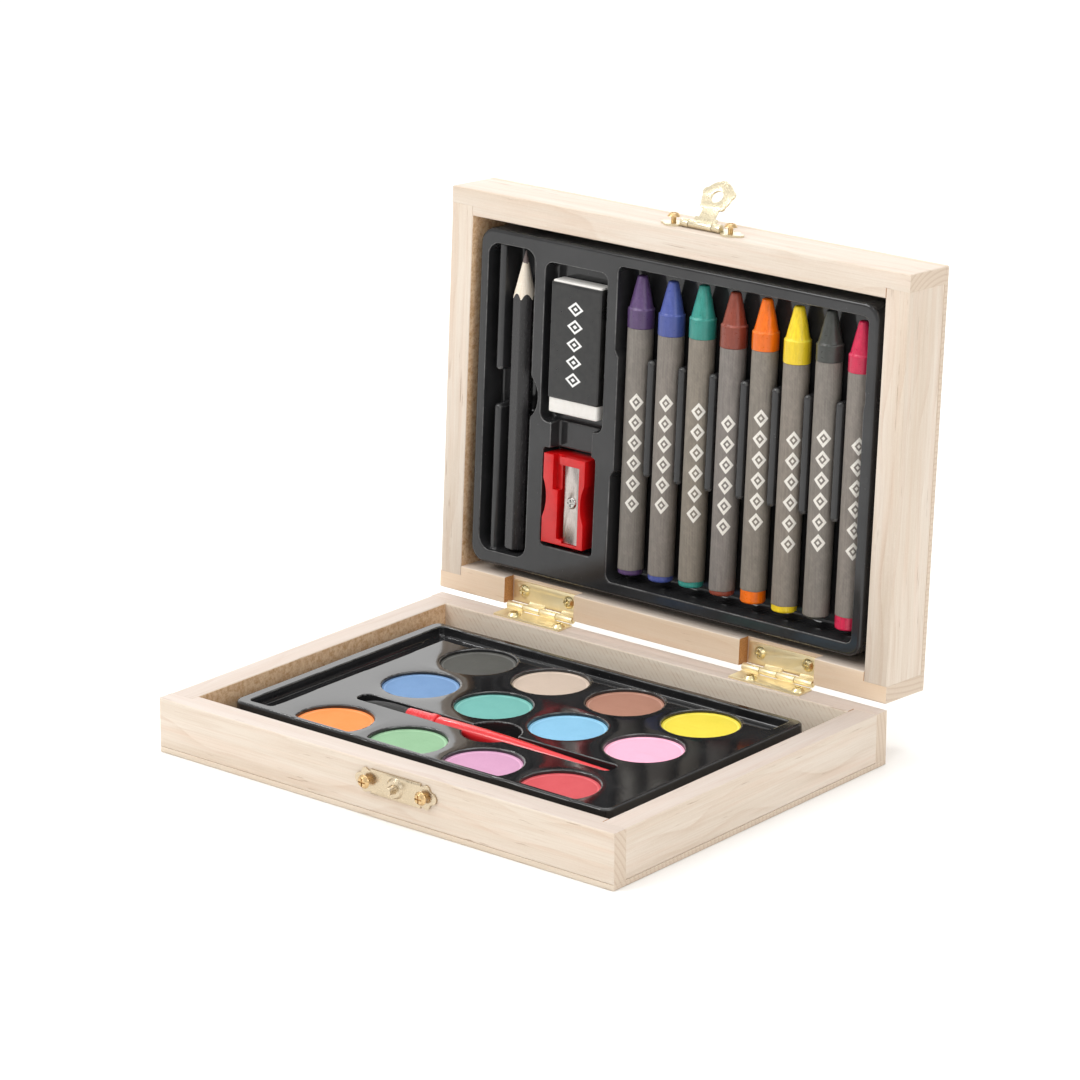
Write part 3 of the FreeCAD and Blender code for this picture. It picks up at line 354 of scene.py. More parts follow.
# ------------------------------------------------------------------- materials
def wood(name, grain, seed, base=(222, 211, 198), dark=(200, 181, 159),
         tilt=False, ply=False):
    """Pale sanded softwood with its grain along 'x' or 'y' of the board."""
    s = Shade(name)
    p = s.mm()
    if tilt:
        r = s.t.nodes.new("ShaderNodeVectorRotate")
        r.rotation_type = "X_AXIS"
        s.link(p, r.inputs["Vector"])
        r.inputs["Angle"].default_value = LEAN
        p = r.outputs[0]
    x, y, z = s.sep(p)
    if grain == "x":
        g, q, r2 = x, y, z
    elif grain == "y":
        g, q, r2 = y, x, z
    else:
        g, q, r2 = z, x, y
    off = (seed * 37.7, seed * 11.3, seed * 5.9)
    warp = s.noise(s.comb(s.math("MULTIPLY_ADD", g, 0.012, off[0]),
                          s.math("MULTIPLY_ADD", q, 0.03, off[1]),
                          s.math("MULTIPLY_ADD", r2, 0.03, off[2])), 1.0, 2.0)
    # broad tone
    v1 = s.comb(s.math("MULTIPLY_ADD", g, 0.010, off[0] + 3),
                s.math("MULTIPLY_ADD", q, 0.16, off[1]),
                s.math("MULTIPLY_ADD", r2, 0.16, off[2]))
    broad = s.noise(v1, 1.0, 3.0, 0.55)
    tone = s.ramp(broad, [(0.30, 0.0), (0.72, 1.0)])
    col = s.mix(s.math("MULTIPLY", tone, 0.62), lin(base), lin(dark))
    blush = s.noise(s.comb(s.math("MULTIPLY_ADD", g, 0.016, off[2] + 8),
                           s.math("MULTIPLY_ADD", q, 0.30, off[0]),
                           s.math("MULTIPLY_ADD", r2, 0.30, off[1])), 1.0, 3.0,
                    0.6)
    col = s.mix(s.ramp(blush, [(0.50, 0.0), (0.72, 0.34)]), col,
                lin((216, 184, 160)))
    # growth rings, pushed about by the warp
    ring_in = s.math("ADD", s.math("MULTIPLY", q, 0.21),
                     s.math("ADD", s.math("MULTIPLY", r2, 0.13),
                            s.math("MULTIPLY", warp, 5.5)))
    ring = s.math("FRACT", s.math("ADD", ring_in, seed * 0.37))
    line = s.ramp(ring, [(0.0, 0.0), (0.55, 0.12), (0.86, 0.70), (0.945, 1.0),
                         (0.985, 0.15), (1.0, 0.0)])
    brk = s.noise(s.comb(s.math("MULTIPLY", g, 0.02),
                         s.math("MULTIPLY_ADD", q, 0.3, off[0]),
                         s.math("MULTIPLY", r2, 0.3)), 1.0, 3.0, 0.6)
    line = s.math("MULTIPLY", line, s.ramp(brk, [(0.38, 0.15), (0.66, 1.0)]))
    col = s.mix(s.math("MULTIPLY", line, 0.36 if not ply else 0.14), col,
                lin((186, 152, 124)))
    # fine fibres
    fib = s.noise(s.comb(s.math("MULTIPLY_ADD", g, 0.05, off[1]),
                         s.math("MULTIPLY", q, 2.6), s.math("MULTIPLY", r2, 2.6)),
                  1.0, 5.0, 0.65)
    col = s.mix(s.ramp(fib, [(0.45, 0.0), (0.72, 0.34)]), col,
                lin((190, 166, 142)))
    # short dark resin and pore dashes
    d = s.noise(s.comb(s.math("MULTIPLY_ADD", g, 0.085, off[2]),
                       s.math("MULTIPLY_ADD", q, 1.55, off[0]),
                       s.math("MULTIPLY_ADD", r2, 1.55, off[1])), 1.0, 2.0, 0.5)
    clump = s.noise(s.comb(s.math("MULTIPLY_ADD", g, 0.022, off[1] + 4),
                           s.math("MULTIPLY_ADD", q, 0.22, off[2]),
                           s.math("MULTIPLY_ADD", r2, 0.22, off[0])), 1.0, 2.0,
                    0.5)
    dash = s.math("ADD", d, s.remap(clump, 0.35, 0.70, -0.06, 0.055))
    dash = s.ramp(dash, [(0.690, 0.0), (0.735, 1.0)])
    col = s.mix(s.math("MULTIPLY", dash, 0.50), col, lin((146, 112, 84)))
    # pale speckle of sanded fibres, and a little handling dust
    sp = s.noise(p, 1.7, 3.0, 0.7)
    col = s.mix(s.ramp(sp, [(0.52, 0.0), (0.80, 0.20)]), col,
                lin((238, 229, 218)))
    if grain == "x":
        # end grain shows where the board is cut across
        nx, ny, nz = s.sep(s.normal_world())
        end = s.ramp(s.math("ABSOLUTE", nx), [(0.80, 0.0), (0.93, 1.0)])
        cy0, cz0 = (78.0, 118.0) if tilt else (-92.0, -16.0)
        ry = s.math("SUBTRACT", y, cy0)
        rz = s.math("SUBTRACT", z, cz0)
        rr = s.math("SQRT", s.math("ADD", s.math("MULTIPLY", ry, ry),
                                   s.math("MULTIPLY", rz, rz)))
        er = s.math("FRACT", s.math("ADD", s.math("MULTIPLY", rr, 0.62),
                                    s.math("MULTIPLY", warp, 1.2)))
        eline = s.ramp(er, [(0.0, 0.2), (0.55, 0.0), (0.88, 0.8), (1.0, 0.2)])
        spk = s.noise(p, 6.5, 2.0, 0.6)
        ecol = s.mix(s.math("MULTIPLY", eline, 0.55), lin((212, 196, 178)),
                     lin((176, 146, 120)))
        ecol = s.mix(s.ramp(spk, [(0.45, 0.0), (0.7, 0.40)]), ecol,
                     lin((178, 150, 124)))
        # the walls of the cuts for the hinges are painted a mottled orange-brown
        cutw = s.math("MULTIPLY", end, s.math("LESS_THAN", s.math(
            "ABSOLUTE", x), 80.0))
        ecol = s.mix(cutw, ecol, s.mix(s.ramp(spk, [(0.36, 0.0), (0.62, 1.0)]),
                                       lin((214, 156, 98)),
                                       lin((150, 98, 52))))
        col = s.mix(end, col, ecol)
        if tilt and not ply:
            # painted light: the face that looks down into the lid sits in shade and is painted almost white, and
            # the low board's face towards the base, also in shade, is painted a warm light tone
            shaded_face = s.math("MULTIPLY", s.ramp(s.math("MULTIPLY", nz, -1.0),
                                            [(0.75, 0.0), (0.95, 1.0)]),
                         s.math("GREATER_THAN", z, 100.0))
            col = s.mix(s.math("MULTIPLY", shaded_face, 0.95), col,
                        lin((255, 246, 232)))
            low = s.math("MULTIPLY", s.math("LESS_THAN", z, 40.0),
                         s.ramp(s.math("MULTIPLY", ny, -1.0),
                                [(0.75, 0.0), (0.95, 1.0)]))
            col = s.mix(s.math("MULTIPLY", low, 0.38), col,
                        lin((240, 204, 162)))
        if not tilt:
            # shallow slanting saw marks on the back board's inner face
            saw = s.math("SINE", s.math("ADD", s.math("MULTIPLY", s.math(
                "ADD", x, s.math("MULTIPLY", z, 0.9)), 3.5), s.math(
                    "MULTIPLY", warp, 9.0)))
            sawn = s.noise(s.comb(s.math("MULTIPLY", x, 0.25),
                                  s.math("MULTIPLY", z, 0.5), 3.0), 1.0, 3.0)
            sawm = s.math("MULTIPLY", s.remap(saw, 0.2, 1.0, 0.0, 1.0),
                          s.ramp(s.math("MULTIPLY", ny, -1.0),
                                 [(0.80, 0.0), (0.93, 1.0)]))
            sawm = s.math("MULTIPLY", sawm, s.ramp(sawn, [(0.40, 0.1),
                                                          (0.62, 1.0)]))
            sawm = s.math("MULTIPLY", sawm, s.math("GREATER_THAN", y, 40.0))
            # painted light: the back board's inner face, which sits in shade, is painted paler
            pale = s.math("MULTIPLY", s.ramp(s.math("MULTIPLY", ny, -1.0),
                                             [(0.80, 0.0), (0.93, 1.0)]),
                          s.math("GREATER_THAN", y, 40.0))
            col = s.mix(s.math("MULTIPLY", pale, 0.45), col,
                        lin((255, 242, 222)))
            col = s.mix(s.math("MULTIPLY", sawm, 0.27), col,
                        lin((172, 130, 88)))
    else:
        # painted shade: the left board's face that looks into the box, turned away from the key light, is
        # painted a mottled browner tone
        nx, ny, nz = s.sep(s.normal_world())
        shaded_face = s.math("MULTIPLY", s.ramp(nx, [(0.75, 0.0), (0.95, 1.0)]),
                     s.math("LESS_THAN", x, 0.0))
        mott = s.noise(s.vmath("ADD", p, (seed, 4, 6)), 0.75, 5.0, 0.72)
        brown = s.mix(s.ramp(mott, [(0.40, 0.0), (0.66, 1.0)]),
                      lin((240, 206, 166)), lin((198, 146, 92)))
        col = s.mix(s.math("MULTIPLY", shaded_face, 0.88), col, brown)
    # painted light: the faces that look up are mixed a little towards grey, for how the light from above falls
    # on them
    if not ply:
        painted_up_tone = s.sep(s.normal_world())[2]
        painted_up_tone = s.ramp(painted_up_tone, [(0.80, 0.0), (0.95, 1.0)])
        col = s.mix(s.math("MULTIPLY", painted_up_tone, 0.20 if tilt else 0.42), col,
                    lin((192, 180, 178)))
    rough = s.remap(fib, 0.3, 0.8, 0.52, 0.74)
    h = s.math("ADD", s.math("MULTIPLY", fib, 0.8),
               s.math("MULTIPLY", dash, -1.2))
    return s.set(color=col, rough=rough, spec=0.32,
                 normal=s.bump(h, 0.35, 0.00009))


def black_sheet(name, seed=0.0, haze=0.0, ior=1.55, lift=0):
    s = Shade(name)
    p = s.mm()
    n1 = s.noise(s.vmath("ADD", p, (seed, seed * 2, 0)), 0.055, 3.0, 0.55)
    n2 = s.noise(p, 0.9, 3.0, 0.6)
    fine = s.noise(p, 5.5, 2.0, 0.5)
    dust = s.voronoi(s.vmath("ADD", p, (seed * 3, 5, 9)), 0.42)
    speck = s.ramp(dust, [(0.018, 1.0), (0.045, 0.0)])
    col = s.mix(s.ramp(n1, [(0.35, 0.0), (0.75, 1.0)]),
                lin((28 + lift, 28 + lift, 29 + lift)),
                lin((40 + lift, 40 + lift, 41 + lift)))
    smudge = s.ramp(s.noise(s.vmath("ADD", p, (9, seed, 2)), 0.16, 5.0, 0.7),
                    [(0.60, 0.0), (0.78, 1.0)])
    col = s.mix(s.math("MULTIPLY", smudge, 0.22 + haze), col,
                lin((72, 72, 72)))
    col = s.mix(s.math("MULTIPLY", speck, 0.5), col, lin((150, 150, 148)))
    rough = s.math("ADD", s.remap(n1, 0.3, 0.75, 0.06, 0.13),
                   s.math("MULTIPLY", smudge, 0.20), clamp=True)
    h = s.math("ADD", s.math("MULTIPLY", n2, 1.0),
               s.math("MULTIPLY", fine, 0.12))
    # painted highlight: the sheet is painted pale along its sharpest outward bends, where edge highlights fall
    edge = s.attribute("edge")
    brk = s.noise(s.vmath("ADD", p, (3, seed, 8)), 0.22, 3.0, 0.6)
    line = s.math("MULTIPLY", s.ramp(edge, [(0.52, 0.0), (0.90, 1.0)]),
                  s.ramp(brk, [(0.36, 0.15), (0.64, 1.0)]))
    col = s.mix(s.math("MULTIPLY", line, 0.30), col, lin((170, 170, 168)))
    return s.set(color=col, rough=rough, ior=ior,
                 normal=s.bump(h, 0.10, 0.00012))


def paint(name, color, seed, cx, cy):
    """A pressed dry cake: matt, faintly mottled and grainy."""
    s = Shade(name)
    p = s.vmath("ADD", s.mm(), (seed * 13.1, seed * 7.7, 0))
    base = lin(color)
    deep = tuple(c * 0.80 for c in base[:3]) + (1,)
    pale = tuple(min(1, c * 1.06 + 0.02) for c in base[:3]) + (1,)
    m1 = s.noise(p, 0.16, 4.0, 0.6)
    m2 = s.noise(p, 3.2, 3.0, 0.6)
    col = s.mix(s.ramp(m1, [(0.35, 0.0), (0.70, 0.55)]), base, pale)
    col = s.mix(s.ramp(m2, [(0.50, 0.0), (0.78, 0.45)]), col, deep)
    # strokes left by the press
    x, y, z = s.sep(p)
    st = s.noise(s.comb(s.math("MULTIPLY", x, 0.07), s.math("MULTIPLY", y, 0.9),
                        0.0), 1.0, 3.0, 0.5)
    col = s.mix(s.ramp(st, [(0.60, 0.0), (0.82, 0.30)]), col, deep)
    # the ring that the press has left just inside the edge
    hx_, hy_, hz_ = s.sep(s.mm())
    dx = s.math("SUBTRACT", hx_, cx)
    dy = s.math("SUBTRACT", hy_, cy)
    rad = s.math("SQRT", s.math("ADD", s.math("MULTIPLY", dx, dx),
                                s.math("MULTIPLY", dy, dy)))
    off_ring = s.math("ABSOLUTE", s.math("SUBTRACT", rad, 10.45))
    ring = s.math("MULTIPLY", s.remap(off_ring, 0.12, 0.30, 1.0, 0.0),
                  s.ramp(m1, [(0.32, 0.3), (0.56, 1.0)]))
    col = s.mix(s.math("MULTIPLY", ring, 0.72), col,
                tuple(min(1, c * 1.25 + 0.10) for c in base[:3]) + (1,))
    grain = s.noise(p, 7.5, 4.0, 0.7)
    h = s.math("ADD", s.math("MULTIPLY", grain, 0.7), m2)
    return s.set(color=col, rough=s.remap(m2, 0.3, 0.8, 0.80, 0.95), spec=0.22,
                 normal=s.bump(h, 0.35, 0.00008))


def wax(name, color, seed, collar, shoulder):
    s = Shade(name)
    p = s.vmath("ADD", s.mm(), (seed * 5.1, seed * 3.3, seed))
    x, y, z = s.sep(p)
    base = lin(color)
    deep = tuple(c * 0.62 for c in base[:3]) + (1,)
    pale = tuple(min(1, c * 1.15 + 0.035) for c in base[:3]) + (1,)
    run = s.noise(s.comb(s.math("MULTIPLY", x, 1.3), s.math("MULTIPLY", y, 1.3),
                         s.math("MULTIPLY", z, 0.22)), 1.0, 4.0, 0.6)
    blot = s.noise(p, 0.8, 4.0, 0.65)
    col = s.mix(s.ramp(run, [(0.38, 0.0), (0.70, 0.68)]), base, deep)
    bloom = s.ramp(blot, [(0.52, 0.0), (0.74, 1.0)])
    col = s.mix(s.math("MULTIPLY", bloom, 0.35), col, pale)
    # the cylinder under the point is painted a little darker, and a painted highlight runs round its shoulder
    up = s.sep(s.mm())[2]
    band = s.math("MULTIPLY", s.remap(up, collar - 0.2, collar + 0.2, 0.0, 1.0),
                  s.remap(up, shoulder - 0.35, shoulder - 0.05, 1.0, 0.0))
    col = s.mix(s.math("MULTIPLY", band, 0.46), col, deep)
    ring = s.math("MULTIPLY", s.remap(up, shoulder - 0.40, shoulder - 0.12,
                                      0.0, 1.0),
                  s.remap(up, shoulder + 0.05, shoulder + 0.45, 1.0, 0.0))
    highlight_break = s.noise(s.vmath("ADD", p, (2, 7, seed)), 0.55, 3.0, 0.6)
    ring = s.math("MULTIPLY", ring, s.ramp(highlight_break, [(0.38, 0.1), (0.60, 1.0)]))
    col = s.mix(s.math("MULTIPLY", ring, 0.55), col,
                tuple(min(1, c * 1.5 + 0.12) for c in base[:3]) + (1,))
    rough = s.math("ADD", s.remap(blot, 0.3, 0.8, 0.26, 0.40),
                   s.math("MULTIPLY", bloom, 0.10), clamp=True)
    h = s.math("ADD", run, s.math("MULTIPLY", blot, 0.6))
    return s.set(color=col, rough=rough, spec=0.5, sss=0.08,
                 sss_radius=(0.9, 0.6, 0.4), sss_scale=0.0012,
                 normal=s.bump(h, 0.22, 0.00012))


def crayon_paper(name, seed, tint=(118, 113, 108), turn=0.0, start=19.5):
    """Printed grey wrap with a row of plain pale lozenges down the front."""
    s = Shade(name)
    p = s.mm()
    x, y, z = s.sep(p)
    a = s.math("ARCTAN2", x, s.math("MULTIPLY", y, -1.0))
    arc = s.math("MULTIPLY", s.math("ADD", a, turn), 3.9)
    base = lin(tint)
    deep = tuple(c * 0.60 for c in base[:3]) + (1,)
    pale = tuple(min(1, c * 1.42) for c in base[:3]) + (1,)
    st = s.noise(s.comb(s.math("MULTIPLY_ADD", arc, 2.4, seed * 9.1),
                        s.math("MULTIPLY", z, 0.10), seed * 1.0), 1.0, 5.0, 0.62)
    mot = s.noise(s.comb(s.math("MULTIPLY", arc, 0.5),
                         s.math("MULTIPLY_ADD", z, 0.35, seed * 4.0), seed), 1.0,
                  5.0, 0.65)
    fine = s.noise(s.vmath("ADD", p, (seed, seed, seed)), 4.5, 3.0, 0.6)
    col = s.mix(s.ramp(st, [(0.40, 0.0), (0.72, 0.70)]), base, deep)
    col = s.mix(s.ramp(mot, [(0.46, 0.0), (0.80, 0.55)]), col, pale)
    col = s.mix(s.ramp(fine, [(0.55, 0.0), (0.80, 0.30)]), col, pale)
    # the faint printed hatch
    hat = s.math("SINE", s.math("MULTIPLY", s.math(
        "ADD", z, s.math("MULTIPLY", arc, 1.0)), 5.2))
    hat = s.math("MULTIPLY", s.remap(hat, 0.2, 1.0, 0.0, 1.0), s.ramp(
        mot, [(0.35, 0.2), (0.7, 1.0)]))
    col = s.mix(s.math("MULTIPLY", hat, 0.16), col, pale)
    # lozenges: six of them on a fixed pitch
    pitch = 6.1
    k = s.math("DIVIDE", s.math("SUBTRACT", z, start), pitch)
    f = s.math("ABSOLUTE", s.math("SUBTRACT", s.math("FRACT", k), 0.5))
    inside = s.math("MULTIPLY", s.math("GREATER_THAN", k, 0.0),
                    s.math("LESS_THAN", k, 6.0))
    front = s.math("LESS_THAN", s.math("ABSOLUTE", arc), 3.6)
    dist = s.math("ADD", s.math("DIVIDE", s.math("MULTIPLY", f, pitch), 2.75),
                  s.math("DIVIDE", s.math("ABSOLUTE", arc), 2.35))
    outer = s.ramp(dist, [(0.94, 1.0), (1.0, 0.0)])
    inner = s.ramp(dist, [(0.49, 1.0), (0.55, 0.0)])
    core = s.ramp(dist, [(0.20, 1.0), (0.26, 0.0)])
    mark = s.math("ADD", s.math("SUBTRACT", outer, inner), core, clamp=True)
    mark = s.math("MULTIPLY", mark, s.math("MULTIPLY", inside, front))
    worn = s.ramp(s.noise(s.vmath("ADD", p, (seed, 3, 7)), 2.4, 4.0, 0.7),
                  [(0.30, 0.55), (0.46, 1.0)])
    mark = s.math("MULTIPLY", mark, worn)
    col = s.mix(s.math("MULTIPLY", mark, 0.93), col, lin((236, 232, 224)))
    h = s.math("ADD", st, s.math("MULTIPLY", fine, 0.5))
    return s.set(color=col, rough=s.remap(mot, 0.3, 0.8, 0.50, 0.68), spec=0.35,
                 normal=s.bump(h, 0.30, 0.00010))


def brass(name, color=(224, 200, 138), rough=0.24, seed=0.0, dull=0.35,
          relief=1.0, other=None, metal=1.0):
    s = Shade(name)
    here = s.mm()
    p = s.vmath("ADD", here, (seed, seed * 2, seed * 3))
    base = lin(color)
    deep = tuple(c * 0.70 for c in base[:3]) + (1,)
    if other:
        # the screws at the latch are of a browner brass than the hinges' own
        hx_, hy_, hz_ = s.sep(here)
        away = s.math("ADD", s.math("LESS_THAN", hy_, 0.0),
                      s.math("GREATER_THAN", hz_, 100.0), clamp=True)
        base = s.mix(away, base, lin(other))
        deep = s.mix(away, deep, tuple(c * 0.55 for c in lin(other)[:3])
                     + (1,))
    n1 = s.noise(p, 0.35, 4.0, 0.6)
    n2 = s.noise(p, 2.6, 4.0, 0.65)
    x, y, z = s.sep(p)
    br = s.noise(s.comb(s.math("MULTIPLY", x, 0.25), s.math("MULTIPLY", y, 7.0),
                        s.math("MULTIPLY", z, 7.0)), 1.0, 3.0, 0.6)
    col = s.mix(s.math("MULTIPLY", s.ramp(n1, [(0.40, 0.0), (0.75, 1.0)]),
                       dull), base, deep)
    col = s.mix(s.ramp(n2, [(0.62, 0.0), (0.85, 0.35)]), col, deep)
    rr = s.math("ADD", s.remap(n2, 0.3, 0.8, rough - 0.05, rough + 0.13),
                s.math("MULTIPLY", br, 0.05), clamp=True)
    h = s.math("ADD", s.math("MULTIPLY", br, 0.5), s.math("MULTIPLY", n2, 0.8))
    return s.set(color=col, metal=metal, rough=rr,
                 normal=s.bump(h, 0.16 * relief, 0.00006))


def lacquer(name, color, rough=0.22, grain="x", seed=0.0, coat=0.4,
            streak=1.0):
    s = Shade(name)
    p = s.vmath("ADD", s.mm(), (seed, seed, seed))
    x, y, z = s.sep(p)
    base = lin(color)
    deep = tuple(c * 0.55 for c in base[:3]) + (1,)
    pale = tuple(min(1, c * 1.25 + 0.01) for c in base[:3]) + (1,)
    g, q, r = (x, y, z) if grain == "x" else (z, x, y)
    run = s.noise(s.comb(s.math("MULTIPLY", g, 0.12), s.math("MULTIPLY", q, 2.2),
                         s.math("MULTIPLY", r, 2.2)), 1.0, 4.0, 0.6)
    blot = s.noise(p, 0.5, 3.0, 0.6)
    col = s.mix(s.ramp(run, [(0.42, 0.0), (0.78, 0.50 * streak)]), base, deep)
    col = s.mix(s.ramp(blot, [(0.55, 0.0), (0.80, 0.40 * streak)]), col, pale)
    h = s.math("ADD", run, s.math("MULTIPLY", blot, 0.5))
    return s.set(color=col, rough=s.remap(blot, 0.3, 0.8, rough, rough + 0.12),
                 coat=coat, coat_rough=0.08,
                 normal=s.bump(h, 0.18 * streak, 0.00010))


def plastic(name, color, rough=0.3, sss=0.0, seed=0.0, relief=1.0):
    s = Shade(name)
    p = s.vmath("ADD", s.mm(), (seed, seed, seed))
    base = lin(color)
    deep = tuple(c * 0.72 for c in base[:3]) + (1,)
    pale = tuple(min(1, c * 1.12 + 0.01) for c in base[:3]) + (1,)
    n1 = s.noise(p, 0.22, 3.0, 0.55)
    n2 = s.noise(p, 2.2, 3.0, 0.6)
    col = s.mix(s.ramp(n1, [(0.35, 0.0), (0.75, 0.6)]), base, deep)
    col = s.mix(s.ramp(n2, [(0.58, 0.0), (0.82, 0.30)]), col, pale)
    h = s.math("ADD", n2, s.math("MULTIPLY", s.noise(p, 8.0, 2.0), 0.3))
    return s.set(color=col, rough=s.remap(n2, 0.3, 0.8, rough, rough + 0.12),
                 sss=sss, sss_radius=(1.0, 0.25, 0.2), sss_scale=0.0015,
                 normal=s.bump(h, 0.12 * relief, 0.00008))


def steel(name, color=(196, 194, 190), rough=0.28, along="y", seed=0.0):
    s = Shade(name)
    p = s.vmath("ADD", s.mm(), (seed, seed, seed))
    x, y, z = s.sep(p)
    fx, fz = (6.0, 0.25) if along == "z" else (0.3, 6.0)
    br = s.noise(s.comb(s.math("MULTIPLY", x, fx), s.math("MULTIPLY", y, 6.0),
                        s.math("MULTIPLY", z, fz)), 1.0, 4.0, 0.6)
    spot = s.noise(p, 0.6, 3.0, 0.6)
    col = s.mix(s.ramp(br, [(0.35, 0.0), (0.75, 0.6)]), lin(color),
                tuple(c * 0.66 for c in lin(color)[:3]) + (1,))
    col = s.mix(s.ramp(spot, [(0.60, 0.0), (0.82, 0.35)]), col,
                lin((150, 146, 140)))
    return s.set(color=col, metal=1.0,
                 rough=s.remap(br, 0.3, 0.8, rough - 0.06, rough + 0.12),
                 normal=s.bump(br, 0.16, 0.00005))


# --------------------------------------------------------------------- camera
YAW, PITCH, ROLL = 0.68778, 0.31141, 0.00164
fwd = Vector((-math.sin(YAW) * math.cos(PITCH),
              math.cos(YAW) * math.cos(PITCH), -math.sin(PITCH)))
right = Vector((math.cos(YAW), math.sin(YAW), 0.0))
up = right.cross(fwd)
right, up = (math.cos(ROLL) * right + math.sin(ROLL) * up,
             -math.sin(ROLL) * right + math.cos(ROLL) * up)
cam_data = bpy.data.cameras.new("Camera")
cam = bpy.data.objects.new("Camera", cam_data)
scene.collection.objects.link(cam)
cam_data.sensor_fit = "HORIZONTAL"
cam_data.sensor_width = 36.0
cam_data.lens = 4586.07 * 36.0 / 1080.0
cam_data.clip_start = 0.05
cam_data.clip_end = 50.0
cam_data.dof.use_dof = False
m = Matrix.Identity(4)
for i in range(3):
    m[i][0], m[i][1], m[i][2] = right[i], up[i], -fwd[i]
m[0][3], m[1][3], m[2][3] = 0.777834, -0.938803, 0.457250
cam.matrix_world = m
scene.camera = cam
scene.view_settings.view_transform = "Standard"
scene.view_settings.look = "None"
scene.view_settings.exposure = 0.0
scene.view_settings.gamma = 1.0

# ------------------------------------------------------------ light and stage
world = bpy.data.worlds.new("Studio")
scene.world = world
world.use_nodes = True
wt = world.node_tree
wt.nodes.clear()
wo = wt.nodes.new("ShaderNodeOutputWorld")
wb = wt.nodes.new("ShaderNodeBackground")
wt.links.new(wb.outputs[0], wo.inputs[0])
wc = wt.nodes.new("ShaderNodeTexCoord")
wd = wt.nodes.new("ShaderNodeVectorMath")
wd.operation = "DOT_PRODUCT"
wt.links.new(wc.outputs["Generated"], wd.inputs[0])
wd.inputs[1].default_value = Vector((-0.62, 0.77, 0.12)).normalized()
wr = wt.nodes.new("ShaderNodeMapRange")
wr.interpolation_type = "SMOOTHSTEP"
wt.links.new(wd.outputs["Value"], wr.inputs[0])
wr.inputs[1].default_value = 0.35
wr.inputs[2].default_value = 0.95
wr.inputs[3].default_value = 0.72
wr.inputs[4].default_value = 1.85
wt.links.new(wr.outputs[0], wb.inputs["Strength"])
wb.inputs["Color"].default_value = (1.0, 0.995, 0.985, 1)


def area(name, loc, target, size, power, color=(1, 1, 1), size_y=None):
    d = bpy.data.lights.new(name, "AREA")
    d.energy = power
    d.color = color
    if size_y:
        d.shape = "RECTANGLE"
        d.size, d.size_y = size, size_y
    else:
        d.size = size
    o = bpy.data.objects.new(name, d)
    scene.collection.objects.link(o)
    o.location = loc
    o.rotation_euler = (Vector(target) - Vector(loc)).to_track_quat(
        "-Z", "Y").to_euler()
    return o


area("key", (-0.55, -0.85, 0.95), (0, 0, 0.05), 0.55, 6.4, (1.0, 0.994, 0.985))
area("side", (1.25, -0.25, 0.75), (0, 0, 0.05), 0.7, 4.0, (0.985, 0.99, 1.0))
area("top", (0.0, 0.1, 1.3), (0, 0, 0), 0.9, 5.0, (1, 1, 1))
for i, loc in enumerate(((-0.45, -0.30, 1.05), (0.25, -0.75, 1.0),
                         (-0.75, 0.25, 0.85))):
    area("glint_%d" % i, loc, (0, 0, 0.06), 0.07, 0.45, (1, 1, 1))

bm = bmesh.new()
bmesh.ops.create_grid(bm, x_segments=24, y_segments=24, size=6.0)
fm = bpy.data.meshes.new("floor")
bm.to_mesh(fm)
bm.free()
floor = bpy.data.objects.new("floor", fm)
scene.collection.objects.link(floor)
floor.location = (0, 0, -0.00012)
fs = Shade("floor_paper")
fn = fs.noise(fs.coords(), 6.0, 3.0, 0.5)
fm.materials.append(fs.set(
    color=fs.mix(fn, lin((252, 252, 251)), lin((249, 249, 248))), rough=0.85,
    spec=0.2))

# -------------------------------------------------------------- the woodwork
rails = [
    ("base_front_rail", "x", 1.0, False), ("base_back_rail", "x", 2.3, False),
    ("base_left_rail", "y", 3.1, False), ("base_right_rail", "y", 4.7, False),
    ("lid_front_rail", "x", 5.9, True), ("lid_back_rail", "x", 7.2, True),
    ("lid_left_rail", "z", 8.4, True), ("lid_right_rail", "z", 9.6, True),
]
INTO_LID = LID.inverted()


def outer_edges(rim, tilt):
    """Full width where two outer faces meet, much less along the joints."""
    def weigh(a, b):
        if tilt:
            a, b = ((INTO_LID @ (v * MM)) / MM for v in (a, b))
        on = [all(abs(abs(v[0]) - 82.5) < 0.02 for v in (a, b)),
              all(abs(abs(v[1]) - 61.75) < 0.02 for v in (a, b)),
              all(abs(v[2] - rim) < 0.02 for v in (a, b))]
        if sum(on) >= 2:
            return 1.0
        inner = all(abs(abs(v[0]) - 74.5) < 0.02 for v in (a, b)) \
            or all(abs(abs(v[1]) - 53.75) < 0.02 for v in (a, b))
        return 0.55 if on[2] and inner else 0.30
    return weigh


for node, grain, seed, tilt in rails:
    crisp(node, 0.38, mats=[wood("pine_" + node, grain, seed, tilt=tilt)],
          segs=3,
          weigh=outer_edges(0.0 if tilt else 16.2, tilt))
for node, seed in (("base_bottom_panel", 11.3), ("lid_top_panel", 13.9)):
    crisp(node, 0.12,
          mats=[wood("ply_" + node, "x", seed, base=(220, 207, 190),
                     dark=(205, 186, 163), tilt=node.startswith("lid"),
                     ply=True)])


# ------------------------------------------------------------- formed trays
def box2(x, y, x0, x1, y0, y1, r):
    qx = np.abs(x - (x0 + x1) / 2) - (x1 - x0) / 2 + r
    qy = np.abs(y - (y0 + y1) / 2) - (y1 - y0) / 2 + r
    return np.hypot(np.maximum(qx, 0), np.maximum(qy, 0)) \
        + np.minimum(np.maximum(qx, qy), 0) - r


def disc(x, y, cx, cy, r):
    return np.hypot(x - cx, y - cy) - r


def smax(a, b, r):
    u, v = np.maximum(a + r, 0), np.maximum(b + r, 0)
    return np.minimum(np.maximum(a, b), -r) + np.hypot(u, v)


def smin(a, b, r):
    return -smax(-a, -b, r)


PANS_X = [-36.6, -9.35, 17.9, 45.15]
ROWS = [24.3, -1.4, -38.5]
CHORD = -43.9


